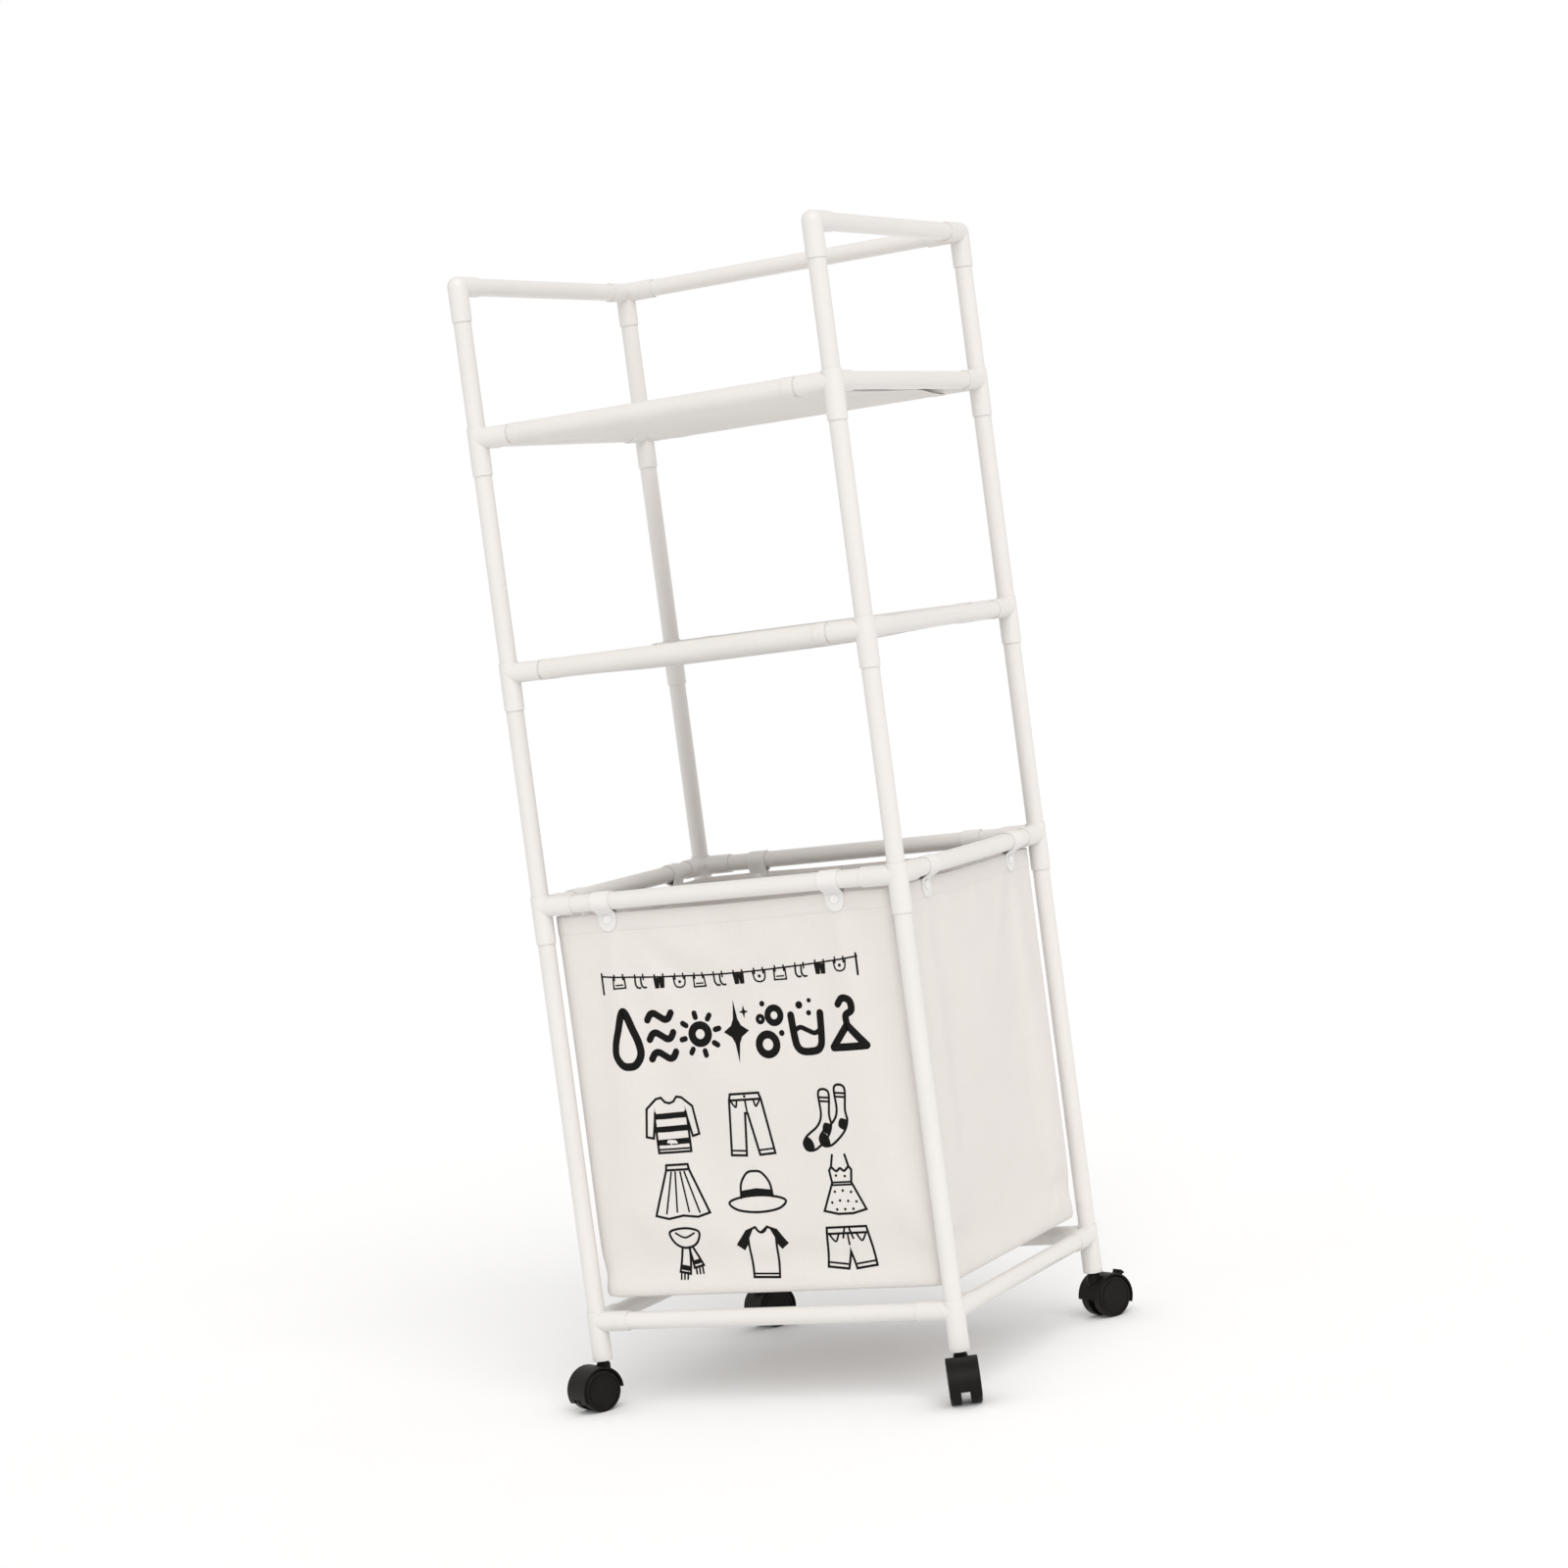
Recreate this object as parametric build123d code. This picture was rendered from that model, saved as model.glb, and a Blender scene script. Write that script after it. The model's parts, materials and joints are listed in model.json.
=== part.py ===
from build123d import *
import os
from math import pi, sqrt

# Rolling laundry rack: a plug-together tube frame with two sleeve shelves, a hamper bag that hangs
# from its rails by snap tabs, and four twin-wheel casters.
# Millimetres, +Z up, +Y to the back. The origin is on the floor under the middle of the frame.

# ---- driving dimensions ---------------------------------------------------------------------

# Frame
POST_SPACING_X = 426.0      # between post axes, left to right
POST_SPACING_Y = 366.0      # between post axes, front to back
HAMPER_BAY = 453.0          # bottom rail axis to hamper rail axis
LOWER_SHELF_BAY = 253.0     # hamper rail axis to middle shelf rail axis
UPPER_SHELF_BAY = 253.0     # middle shelf rail axis to top shelf rail axis
GUARD_RISE = 163.0          # top shelf rail axis to guard rail axis

# Steel tube
TUBE_OD = 19.0
TUBE_WALL = 0.9

# Plastic connectors
SOCKET_CLEARANCE = 0.1      # radial, tube in socket
CONNECTOR_WALL = 1.2
SOCKET_DEPTH = 24.0         # tube length held in an upright socket
STOP_HEIGHT = 4.0           # stop between the two tubes in an upright sleeve
STOP_BORE_D = 14.0          # opening through the tube stop
RIM_ABOVE_ARM = 1.2         # rim of the upper socket above the level arms
ARM_STOP_WALL = 2.4         # between crossing sockets
ARM_SOCKET_DEPTH = 28.0     # tube length held in a level arm
ELBOW_SOCKET_DEPTH = 26.0   # tube length held in a guard elbow
RIM_ROUND = 0.5

# Shelf sleeves
SLEEVE_FIT = 0.2            # radial, fabric round the rail
SLEEVE_CLOTH = 1.0
SLEEVE_END_GAP = 2.0        # between the sleeve's edge and the connector arm

# Hamper bag
BAG_INSET = 4.0             # outer face inside the plane of the rail axes
BAG_WALL = 2.0
BAG_POST_GAP = 4.5          # rounded corner to the connector
BAG_TOP_GAP = 1.7           # rim below the connector arms
BAG_FLOOR_GAP = 12.7        # floor above the bottom connector arms
BOARD_THICKNESS = 3.0
BOARD_GAP = 1.0

# Hanging tabs and their snaps
TAB_WIDTH = 21.5
TAB_CLOTH = 1.2
TAB_FIT = 0.2               # radial, tab round the rail
TAB_OUTER_LEG = 23.5        # outer leg's end below the rail
TAB_INNER_LEG = 18.5        # inner leg's end below the rail
TAB_FROM_ARM_X = 37.0       # tab centre from the connector arm, on front and rear rails
TAB_FROM_ARM_Y = 33.0       # tab centre from the connector arm, on side rails
SNAP_BELOW_RAIL = 10.5      # snap centre below the rail
SNAP_CAP_D = 10.5
SNAP_CAP_HEIGHT = 1.6
SNAP_PIN_D = 3.0
SNAP_HOLE_GAP = 0.1         # radial, pin in cloth
SNAP_SEAT_GAP = 0.05        # radial, pin in the socket half

# Casters
WHEEL_D = 45.0
WHEEL_WIDTH = 11.5
WHEEL_RIM = 3.5             # tread thickness round the hollow inner side
WHEEL_FACE = 3.5            # thickness of the outer disc
WHEEL_HUB_D = 13.0
WHEEL_GAP = 0.5             # wheel to the housing's web
TRAIL = 14.0                # wheel axle behind the swivel axis
WEB_WIDTH = 9.0
HOOD_GAP = 1.0              # wheel tread to hood
HOOD_WALL = 2.3
HOOD_REAR_ANGLE = -25.0     # lower edge on the trailing side, from the level
HOOD_FRONT_ANGLE = 180.0
WEB_REAR_ANGLE = 35.0
WEB_BOSS_D = 16.0
HOOD_NOTCH_WIDTH = 12.0
HOOD_NOTCH_ANGLE = 12.0
HUB_D = 15.0
NECK_D = 13.0
NECK_RISE = 2.7             # top of the neck above the hood
SWIVEL_GAP = 0.2            # neck to the stem's collar
AXLE_D = 5.0
AXLE_PRESS_GAP = 0.02       # radial, in the web
RUNNING_GAP = 0.06          # radial, turning fits
STEM_SHANK_D = 8.0
STEM_COLLAR_D = 11.6
STEM_COLLAR_HEIGHT = 0.8
STEM_JOURNAL_D = 6.0
STEM_JOURNAL_LENGTH = 21.2
STEM_END_GAP = 0.5
STEM_GROOVE_DEPTH = 0.5
STEM_FIT = 0.05             # radial, shank in its plug
STEM_TOP_GAP = 1.0          # shank to the plug's closed end
PLUG_FLANGE = 2.0
PLUG_END = 5.0              # closed end above the stem

# Brake lever, on the rear casters
LEVER_WIDTH = 4.0           # blade, along the axle
LEVER_DEPTH = 4.0           # blade, along its travel
LEVER_SLOT_GAP = 0.3
LEVER_REST_ANGLE = 45.0     # above the level, on the trailing side
LEVER_TRAVEL = 12.0         # degrees, pressed down
LEVER_HUB_D = 13.0
PEDAL_WIDTH = 14.0
PEDAL_THICKNESS = 3.0
PEDAL_LIFT = 1.2            # pedal above the hood
PEDAL_LENGTH = 6.0
PEDAL_LIP = 2.0
PEDAL_LIP_THICKNESS = 5.0

# Rest heading of each caster's trailing side, in degrees from +X
CASTER_HEADINGS = {
    "front_left": -117.2,
    "front_right": -62.8,
    "rear_left": 62.8,
    "rear_right": 62.8,
}
BRAKED = ("rear_left", "rear_right")

# ---- worked-out sizes -----------------------------------------------------------------------

tube_r = TUBE_OD / 2
socket_r = tube_r + SOCKET_CLEARANCE
connector_r = socket_r + CONNECTOR_WALL
arm_stop = socket_r + ARM_STOP_WALL
arm_length = arm_stop + ARM_SOCKET_DEPTH
elbow_leg = arm_stop + ELBOW_SOCKET_DEPTH
sleeve_above = connector_r + RIM_ABOVE_ARM
leg_below = 2 * SOCKET_DEPTH + STOP_HEIGHT - sleeve_above
upper_seat = sleeve_above - SOCKET_DEPTH
lower_seat = SOCKET_DEPTH - leg_below

wheel_r = WHEEL_D / 2
hood_in = wheel_r + HOOD_GAP
hood_out = hood_in + HOOD_WALL
half_width = WEB_WIDTH / 2 + WHEEL_GAP + WHEEL_WIDTH
neck_top = wheel_r + hood_out + NECK_RISE
collar_z = neck_top + SWIVEL_GAP
plug_z = collar_z + STEM_COLLAR_HEIGHT
foot_z = plug_z + PLUG_FLANGE
shank_length = PLUG_FLANGE + SOCKET_DEPTH - PLUG_END - STEM_TOP_GAP
pedal_start = hood_out + PEDAL_LIFT
pedal_end = pedal_start + PEDAL_LENGTH

bottom_z = foot_z + leg_below
hamper_z = bottom_z + HAMPER_BAY
middle_z = hamper_z + LOWER_SHELF_BAY
top_z = middle_z + UPPER_SHELF_BAY
guard_z = top_z + GUARD_RISE
LEVELS = {"bottom": bottom_z, "hamper": hamper_z, "middle_shelf": middle_z, "top_shelf": top_z}

half_x = POST_SPACING_X / 2
half_y = POST_SPACING_Y / 2
CORNERS = {
    "front_left": (-1, -1),
    "front_right": (1, -1),
    "rear_left": (-1, 1),
    "rear_right": (1, 1),
}

bag_half_x = half_x - BAG_INSET
bag_half_y = half_y - BAG_INSET
bag_corner_r = (connector_r + BAG_POST_GAP - BAG_INSET * sqrt(2)) / (sqrt(2) - 1)
bag_top_z = hamper_z - connector_r - BAG_TOP_GAP
bag_floor_z = bottom_z + connector_r + BAG_FLOOR_GAP
snap_drop = tube_r + SNAP_BELOW_RAIL


# ---- helpers --------------------------------------------------------------------------------

def rod(start, direction, length, radius):
    """A cylinder from a start point along a direction."""
    return extrude(Plane(origin=start, z_dir=direction) * Circle(radius), length)


def tube(start, direction, length):
    """A piece of the steel tube."""
    ring = Circle(tube_r) - Circle(tube_r - TUBE_WALL)
    return extrude(Plane(origin=start, z_dir=direction) * ring, length)


def rounded_rims(body):
    """Rounds the outer edge at each open end of a connector."""
    round_trip = 2 * pi * connector_r
    rims = [e for e in body.edges().filter_by(GeomType.CIRCLE) if abs(e.length - round_trip) < 0.1]
    return fillet(rims, min(RIM_ROUND, CONNECTOR_WALL / 2))


def at_corner(shape, corner):
    """A shape made for the front left corner, mirrored to another corner of the frame."""
    side, depth = CORNERS[corner]
    if side > 0:
        shape = mirror(shape, Plane.YZ)
    if depth > 0:
        shape = mirror(shape, Plane.XZ)
    return shape


def pie(radius, start, end):
    """A slice of a circle between two angles in degrees."""
    rim = CenterArc((0, 0), radius, start, end - start)
    return make_face([Line((0, 0), rim @ 0), rim, Line(rim @ 1, (0, 0))])


# ---- frame ----------------------------------------------------------------------------------

def level_connector(z):
    """Three-way connector at the front left post: an upright sleeve with two level arms."""
    x, y = -half_x, -half_y
    body = rod((x, y, z - leg_below), (0, 0, 1), leg_below + sleeve_above, connector_r)
    body += rod((x, y, z), (1, 0, 0), arm_length, connector_r)
    body += rod((x, y, z), (0, 1, 0), arm_length, connector_r)
    body = rounded_rims(body)
    body -= rod((x, y, z - leg_below), (0, 0, 1), SOCKET_DEPTH, socket_r)
    body -= rod((x, y, z + upper_seat), (0, 0, 1), SOCKET_DEPTH, socket_r)
    body -= rod((x, y, z - leg_below), (0, 0, 1), leg_below, STOP_BORE_D / 2)
    body -= rod((x + arm_stop, y, z), (1, 0, 0), arm_length, socket_r)
    body -= rod((x, y + arm_stop, z), (0, 1, 0), arm_length, socket_r)
    return body


def guard_elbow(rear):
    """Rounded elbow on top of a post. The rear one has a third arm, for the rear guard rail."""
    corner = (-half_x, -half_y, guard_z)
    arms = [(0, 0, -1), (0, 1, 0)] + ([(1, 0, 0)] if rear else [])
    body = Pos(*corner) * Sphere(connector_r)
    for arm in arms:
        body += rod(corner, arm, elbow_leg, connector_r)
    body = rounded_rims(body)
    for arm in arms:
        stop = Vector(*corner) + Vector(*arm) * arm_stop
        body -= rod(stop, arm, elbow_leg, socket_r)
        body -= rod(corner, arm, elbow_leg, STOP_BORE_D / 2)
    return body


def post_tubes(corner):
    """The four upright tubes of one post, from the bottom connector to the guard elbow."""
    side, depth = CORNERS[corner]
    heights = [*LEVELS.values(), guard_z]
    names = ["hamper", "lower_bay", "upper_bay", "guard"]
    tubes = {}
    for name, low, high in zip(names, heights, heights[1:]):
        end = high - arm_stop if high == guard_z else high + lower_seat
        start = low + upper_seat
        tubes[f"post_tube_{corner}_{name}"] = tube(
            (side * half_x, depth * half_y, start), (0, 0, 1), end - start)
    return tubes


def rail_x(y, z, stop):
    return tube((-half_x + stop, y, z), (1, 0, 0), POST_SPACING_X - 2 * stop)


def rail_y(x, z, stop):
    return tube((x, -half_y + stop, z), (0, 1, 0), POST_SPACING_Y - 2 * stop)


def frame_nodes():
    nodes = {}
    for corner in CORNERS:
        nodes.update(post_tubes(corner))
    for level, z in LEVELS.items():
        nodes[f"rail_front_{level}"] = rail_x(-half_y, z, arm_stop)
        nodes[f"rail_rear_{level}"] = rail_x(half_y, z, arm_stop)
        nodes[f"rails_side_{level}"] = [rail_y(x, z, arm_stop) for x in (-half_x, half_x)]
        connector = level_connector(z)
        nodes[f"connectors_{level}"] = [at_corner(connector, corner) for corner in CORNERS]
    nodes["guard_rails"] = [
        rail_x(half_y, guard_z, arm_stop),
        rail_y(-half_x, guard_z, arm_stop),
        rail_y(half_x, guard_z, arm_stop),
    ]
    elbows = {-1: guard_elbow(rear=False), 1: guard_elbow(rear=True)}
    nodes["guard_elbows"] = [at_corner(elbows[CORNERS[corner][1]], corner) for corner in CORNERS]
    return nodes


# ---- soft parts -----------------------------------------------------------------------------

def shelf_sleeve(z):
    """Closed loop of cloth stretched round the front and rear rails of a shelf."""
    inner_r = tube_r + SLEEVE_FIT
    outer_r = inner_r + SLEEVE_CLOTH
    loop = SlotCenterToCenter(POST_SPACING_Y, 2 * outer_r) - SlotCenterToCenter(POST_SPACING_Y, 2 * inner_r)
    width = POST_SPACING_X - 2 * (arm_length + SLEEVE_END_GAP)
    return extrude(Plane(origin=(0, 0, z), x_dir=(0, 1, 0), z_dir=(1, 0, 0)) * loop, width / 2, both=True)


def bag_shell():
    """Open-topped bag with rounded upright corners and holes for the snaps."""
    outside = RectangleRounded(2 * bag_half_x, 2 * bag_half_y, bag_corner_r)
    inside = offset(outside, -BAG_WALL)
    shell = extrude(Pos(0, 0, bag_floor_z) * outside, bag_top_z - bag_floor_z)
    shell -= extrude(Pos(0, 0, bag_floor_z + BAG_WALL) * inside, bag_top_z - bag_floor_z)
    for place in tab_places():
        shell -= place * snap_hole()
    return shell


def base_board():
    """Stiff board lying on the bag's floor."""
    gap = BAG_WALL + BOARD_GAP
    plan = RectangleRounded(2 * (bag_half_x - gap), 2 * (bag_half_y - gap), bag_corner_r - gap)
    return extrude(Pos(0, 0, bag_floor_z + BAG_WALL) * plan, BOARD_THICKNESS)


def tab_places():
    """Where the tabs hang: on each rail axis, with local +Y towards the inside of the bag."""
    along_x = half_x - arm_length - TAB_FROM_ARM_X
    along_y = half_y - arm_length - TAB_FROM_ARM_Y
    places = []
    for turn, reach, offset_along in ((0, half_y, along_x), (180, half_y, along_x),
                                      (90, half_x, along_y), (-90, half_x, along_y)):
        for side in (-1, 1):
            places.append(Rot(0, 0, turn) * Pos(side * offset_along, -reach, hamper_z))
    return places


def snap_hole():
    """Clearance hole for a snap's pin through a tab and the bag wall."""
    far = BAG_INSET + BAG_WALL + 3 * TAB_CLOTH
    return rod((0, 0, -snap_drop), (0, 1, 0), far, SNAP_PIN_D / 2 + SNAP_HOLE_GAP)


def tab_leg(depth, length):
    """One hanging leg of a tab, with a half-round end. Its near face is at a depth from the rail axis."""
    ring_mid = tube_r + TAB_FIT + TAB_CLOTH / 2
    middle = depth + TAB_CLOTH / 2
    start = -sqrt(ring_mid ** 2 - middle ** 2)
    round_z = TAB_WIDTH / 2 - tube_r - length
    outline = Pos(0, (start + round_z) / 2) * Rectangle(TAB_WIDTH, start - round_z)
    outline += Pos(0, round_z) * Circle(TAB_WIDTH / 2)
    outline -= Pos(0, start + TAB_WIDTH / 2) * Rectangle(2 * TAB_WIDTH, TAB_WIDTH)
    return extrude(Plane(origin=(0, depth, 0), x_dir=(-1, 0, 0), z_dir=(0, 1, 0)) * outline, TAB_CLOTH)


def hanging_tab():
    """Strap looped round a rail along X, with a leg on each side of the bag wall."""
    inner_r = tube_r + TAB_FIT
    ring = Circle(inner_r + TAB_CLOTH) - Circle(inner_r)
    tab = extrude(Plane.YZ * ring, TAB_WIDTH / 2, both=True)
    tab += tab_leg(BAG_INSET - TAB_CLOTH, TAB_OUTER_LEG)
    tab += tab_leg(BAG_INSET + BAG_WALL, TAB_INNER_LEG)
    return tab - snap_hole()


def snap():
    """Cap with its pin on the outside, and the socket half that it snaps into on the inside."""
    outer_face = BAG_INSET - TAB_CLOTH
    inner_face = BAG_INSET + BAG_WALL + TAB_CLOTH
    pin_end = inner_face + SNAP_CAP_HEIGHT * 0.75
    axis_start = (0, outer_face - SNAP_CAP_HEIGHT, -snap_drop)
    cap = rod(axis_start, (0, 1, 0), SNAP_CAP_HEIGHT, SNAP_CAP_D / 2)
    cap = fillet(cap.edges().sort_by(Axis.Y)[0], SNAP_CAP_HEIGHT / 2)
    cap += rod((0, outer_face, -snap_drop), (0, 1, 0), pin_end - outer_face, SNAP_PIN_D / 2)
    seat = rod((0, inner_face, -snap_drop), (0, 1, 0), SNAP_CAP_HEIGHT, SNAP_CAP_D / 2)
    seat -= rod((0, inner_face, -snap_drop), (0, 1, 0), pin_end - inner_face + SNAP_SEAT_GAP,
                SNAP_PIN_D / 2 + SNAP_SEAT_GAP)
    return [cap, seat]


def soft_nodes():
    places = tab_places()
    tab = hanging_tab()
    halves = snap()
    return {
        "middle_shelf_sleeve": shelf_sleeve(middle_z),
        "top_shelf_sleeve": shelf_sleeve(top_z),
        "hamper_bag": bag_shell(),
        "bag_base_board": base_board(),
        "hanging_tabs": [place * tab for place in places],
        "snap_buttons": [place * half for place in places for half in halves],
    }


# ---- casters --------------------------------------------------------------------------------
# Each piece is made with the swivel axis on Z, the trailing side towards +X and the axle along Y.

axle_plane = Plane(origin=(TRAIL, 0, wheel_r), x_dir=(1, 0, 0), z_dir=(0, -1, 0))


def across(outline, half):
    """An outline round the axle, extruded along it to both sides of the middle."""
    return extrude(axle_plane * outline, half, both=True)


def lever_slot():
    """Room for the lever's hub and for its blade over the whole travel."""
    length = 2 * hood_out
    blade = Pos(length / 2, 0) * Rectangle(length, LEVER_DEPTH + 2 * LEVER_SLOT_GAP)
    pressed = LEVER_REST_ANGLE - LEVER_TRAVEL
    slot = Circle(LEVER_HUB_D / 2 + LEVER_SLOT_GAP) + pie(length, pressed, LEVER_REST_ANGLE)
    return slot + Rot(0, 0, LEVER_REST_ANGLE) * blade + Rot(0, 0, pressed) * blade


def caster_housing(braked):
    """Hood over both wheels, with the web between them and the hub that takes the stem."""
    body = across(pie(hood_out, HOOD_REAR_ANGLE, HOOD_FRONT_ANGLE) - Circle(hood_in), half_width)
    hub = rod((0, 0, wheel_r), (0, 0, 1), hood_out, HUB_D / 2)
    hub += rod((0, 0, wheel_r), (0, 0, 1), neck_top - wheel_r, NECK_D / 2)
    hub -= across(Circle(hood_in), half_width)
    body += hub
    web_outline = pie(hood_in + HOOD_WALL / 2, WEB_REAR_ANGLE, HOOD_FRONT_ANGLE)
    body += across(web_outline + Circle(WEB_BOSS_D / 2), WEB_WIDTH / 2)
    notch = pie(2 * hood_out, HOOD_REAR_ANGLE - 1, HOOD_REAR_ANGLE + HOOD_NOTCH_ANGLE)
    body -= across(notch - Circle(wheel_r), HOOD_NOTCH_WIDTH / 2)
    journal_end = collar_z - STEM_JOURNAL_LENGTH - STEM_END_GAP
    body -= rod((0, 0, journal_end), (0, 0, 1), neck_top, STEM_JOURNAL_D / 2 + RUNNING_GAP)
    body -= across(Circle(AXLE_D / 2 + AXLE_PRESS_GAP), WEB_WIDTH)
    if braked:
        body -= across(lever_slot(), LEVER_WIDTH / 2 + LEVER_SLOT_GAP)
    return body


def axle():
    return across(Circle(AXLE_D / 2), half_width - WHEEL_FACE + 1)


def wheel(side):
    """Hollow-backed wheel with a closed, grooved outer disc. side is +1 or -1 along the axle."""
    body = Cylinder(wheel_r, WHEEL_WIDTH, align=(Align.CENTER, Align.CENTER, Align.MIN))
    body = fillet(body.edges().filter_by(GeomType.CIRCLE).sort_by(Axis.Z)[-1], 2.0)
    body = fillet(body.edges().filter_by(GeomType.CIRCLE).sort_by(Axis.Z)[0], 1.0)
    hollow = Circle(wheel_r - WHEEL_RIM) - Circle(WHEEL_HUB_D / 2)
    body -= extrude(hollow, WHEEL_WIDTH - WHEEL_FACE)
    body -= extrude(Circle(AXLE_D / 2 + RUNNING_GAP), WHEEL_WIDTH - WHEEL_FACE + 1.2)
    groove = Circle(wheel_r - 4.0) - Circle(wheel_r - 5.0)
    body -= extrude(Pos(0, 0, WHEEL_WIDTH - 0.6) * groove, 1)
    inner_face = (TRAIL, side * (WEB_WIDTH / 2 + WHEEL_GAP), wheel_r)
    return Plane(origin=inner_face, x_dir=(1, 0, 0), z_dir=(0, side, 0)) * body


def stem():
    """Steel stem: a shank for the plug, a collar, and the journal that the housing turns on."""
    shank = rod((0, 0, plug_z), (0, 0, 1), shank_length, STEM_SHANK_D / 2)
    collar = rod((0, 0, collar_z), (0, 0, 1), STEM_COLLAR_HEIGHT, STEM_COLLAR_D / 2)
    journal_z = collar_z - STEM_JOURNAL_LENGTH
    journal = rod((0, 0, journal_z), (0, 0, 1), STEM_JOURNAL_LENGTH, STEM_JOURNAL_D / 2)
    ring = Circle(STEM_JOURNAL_D) - Circle(STEM_JOURNAL_D / 2 - STEM_GROOVE_DEPTH)
    journal -= extrude(Pos(0, 0, journal_z + 3) * ring, 1)
    return shank + collar + journal


def caster_plug():
    """Plug in the foot of the post, with the flange that shows as a rim and the stem's hole."""
    body = rod((0, 0, plug_z), (0, 0, 1), PLUG_FLANGE, connector_r)
    body = fillet(body.edges(), PLUG_FLANGE / 4)
    body += rod((0, 0, foot_z), (0, 0, 1), SOCKET_DEPTH, tube_r)
    return body - rod((0, 0, plug_z), (0, 0, 1), shank_length + STEM_TOP_GAP, STEM_SHANK_D / 2 + STEM_FIT)


def brake_lever():
    """Lever that turns on the axle inside the web, with its pedal outside the hood."""
    body = across(Circle(LEVER_HUB_D / 2), LEVER_WIDTH / 2)
    blade_end = pedal_start + PEDAL_LENGTH / 2
    blade = Pos(blade_end / 2, 0) * Rectangle(blade_end, LEVER_DEPTH)
    body += across(Rot(0, 0, LEVER_REST_ANGLE) * blade, LEVER_WIDTH / 2)
    pedal = Pos((pedal_start + pedal_end) / 2, 0) * Rectangle(PEDAL_LENGTH, PEDAL_THICKNESS)
    pedal += Pos(pedal_end - PEDAL_LIP / 2, 0) * Rectangle(PEDAL_LIP, PEDAL_LIP_THICKNESS)
    body += across(Rot(0, 0, LEVER_REST_ANGLE) * pedal, PEDAL_WIDTH / 2)
    return body - across(Circle(AXLE_D / 2 + RUNNING_GAP), LEVER_WIDTH)


def caster_place(corner):
    side, depth = CORNERS[corner]
    return Pos(side * half_x, depth * half_y, 0) * Rot(0, 0, CASTER_HEADINGS[corner])


def caster_nodes():
    nodes = {}
    for corner in CORNERS:
        place = caster_place(corner)
        nodes[f"caster_housing_{corner}"] = place * caster_housing(corner in BRAKED)
        nodes[f"caster_axle_{corner}"] = place * axle()
        nodes[f"wheel_{corner}_a"] = place * wheel(1)
        nodes[f"wheel_{corner}_b"] = place * wheel(-1)
        if corner in BRAKED:
            nodes[f"brake_lever_{corner}"] = place * brake_lever()
    nodes["caster_stems"] = [caster_place(corner) * stem() for corner in CORNERS]
    nodes["caster_plugs"] = [caster_place(corner) * caster_plug() for corner in CORNERS]
    return nodes


# ---- export ---------------------------------------------------------------------------------

def export_node(name, shape):
    """Writes one node. A list becomes a group of separate solids."""
    if isinstance(shape, list):
        shape = Compound(children=[piece for part in shape for piece in part.solids()])
    shape.label = name
    export_step(shape, f"parts/{name}.step")


os.makedirs("parts", exist_ok=True)
for node_name, node_shape in {**frame_nodes(), **soft_nodes(), **caster_nodes()}.items():
    export_node(node_name, node_shape)
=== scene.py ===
import json
from math import atan2, ceil, cos, exp, hypot, pi, radians, sin, sqrt

import bmesh
import bpy
from mathutils import Matrix, Vector
from mathutils.bvhtree import BVHTree


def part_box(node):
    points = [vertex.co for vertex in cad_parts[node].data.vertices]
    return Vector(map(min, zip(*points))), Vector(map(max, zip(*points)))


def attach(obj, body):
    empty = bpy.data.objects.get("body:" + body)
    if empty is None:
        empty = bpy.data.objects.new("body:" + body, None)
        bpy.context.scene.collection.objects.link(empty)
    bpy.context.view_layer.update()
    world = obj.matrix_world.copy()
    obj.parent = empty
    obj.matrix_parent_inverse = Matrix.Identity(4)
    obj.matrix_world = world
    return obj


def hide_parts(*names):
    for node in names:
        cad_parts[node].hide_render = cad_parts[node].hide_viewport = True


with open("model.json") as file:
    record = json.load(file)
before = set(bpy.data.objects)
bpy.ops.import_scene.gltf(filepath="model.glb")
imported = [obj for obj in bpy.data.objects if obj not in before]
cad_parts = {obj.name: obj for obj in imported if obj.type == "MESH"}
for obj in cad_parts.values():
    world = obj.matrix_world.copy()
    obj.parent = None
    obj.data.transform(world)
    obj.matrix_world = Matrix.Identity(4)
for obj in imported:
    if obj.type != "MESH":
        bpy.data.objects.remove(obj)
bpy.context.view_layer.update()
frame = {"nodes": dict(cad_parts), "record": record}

# Looks of the rolling laundry rack: cloth shelves, the hanging hamper bag with its print, tabs and
# snaps, and a finish for every piece. Metres, +Z up, +Y to the back.

MM = 0.001

# ---- places, from the frame -------------------------------------------------------------------


def box_middle(node):
    low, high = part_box(node)
    return (low + high) / 2


bag_low, bag_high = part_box("hamper_bag")
board_low, board_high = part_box("bag_base_board")
front_rail = box_middle("rail_front_hamper")
rear_rail = box_middle("rail_rear_hamper")
rail_r = (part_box("rail_front_hamper")[1].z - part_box("rail_front_hamper")[0].z) / 2
post_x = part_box("rails_side_hamper")[1].x - rail_r
post_y = rear_rail.y
hamper_z = front_rail.z

# ---- sizes of the cloth pieces ----------------------------------------------------------------

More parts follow.
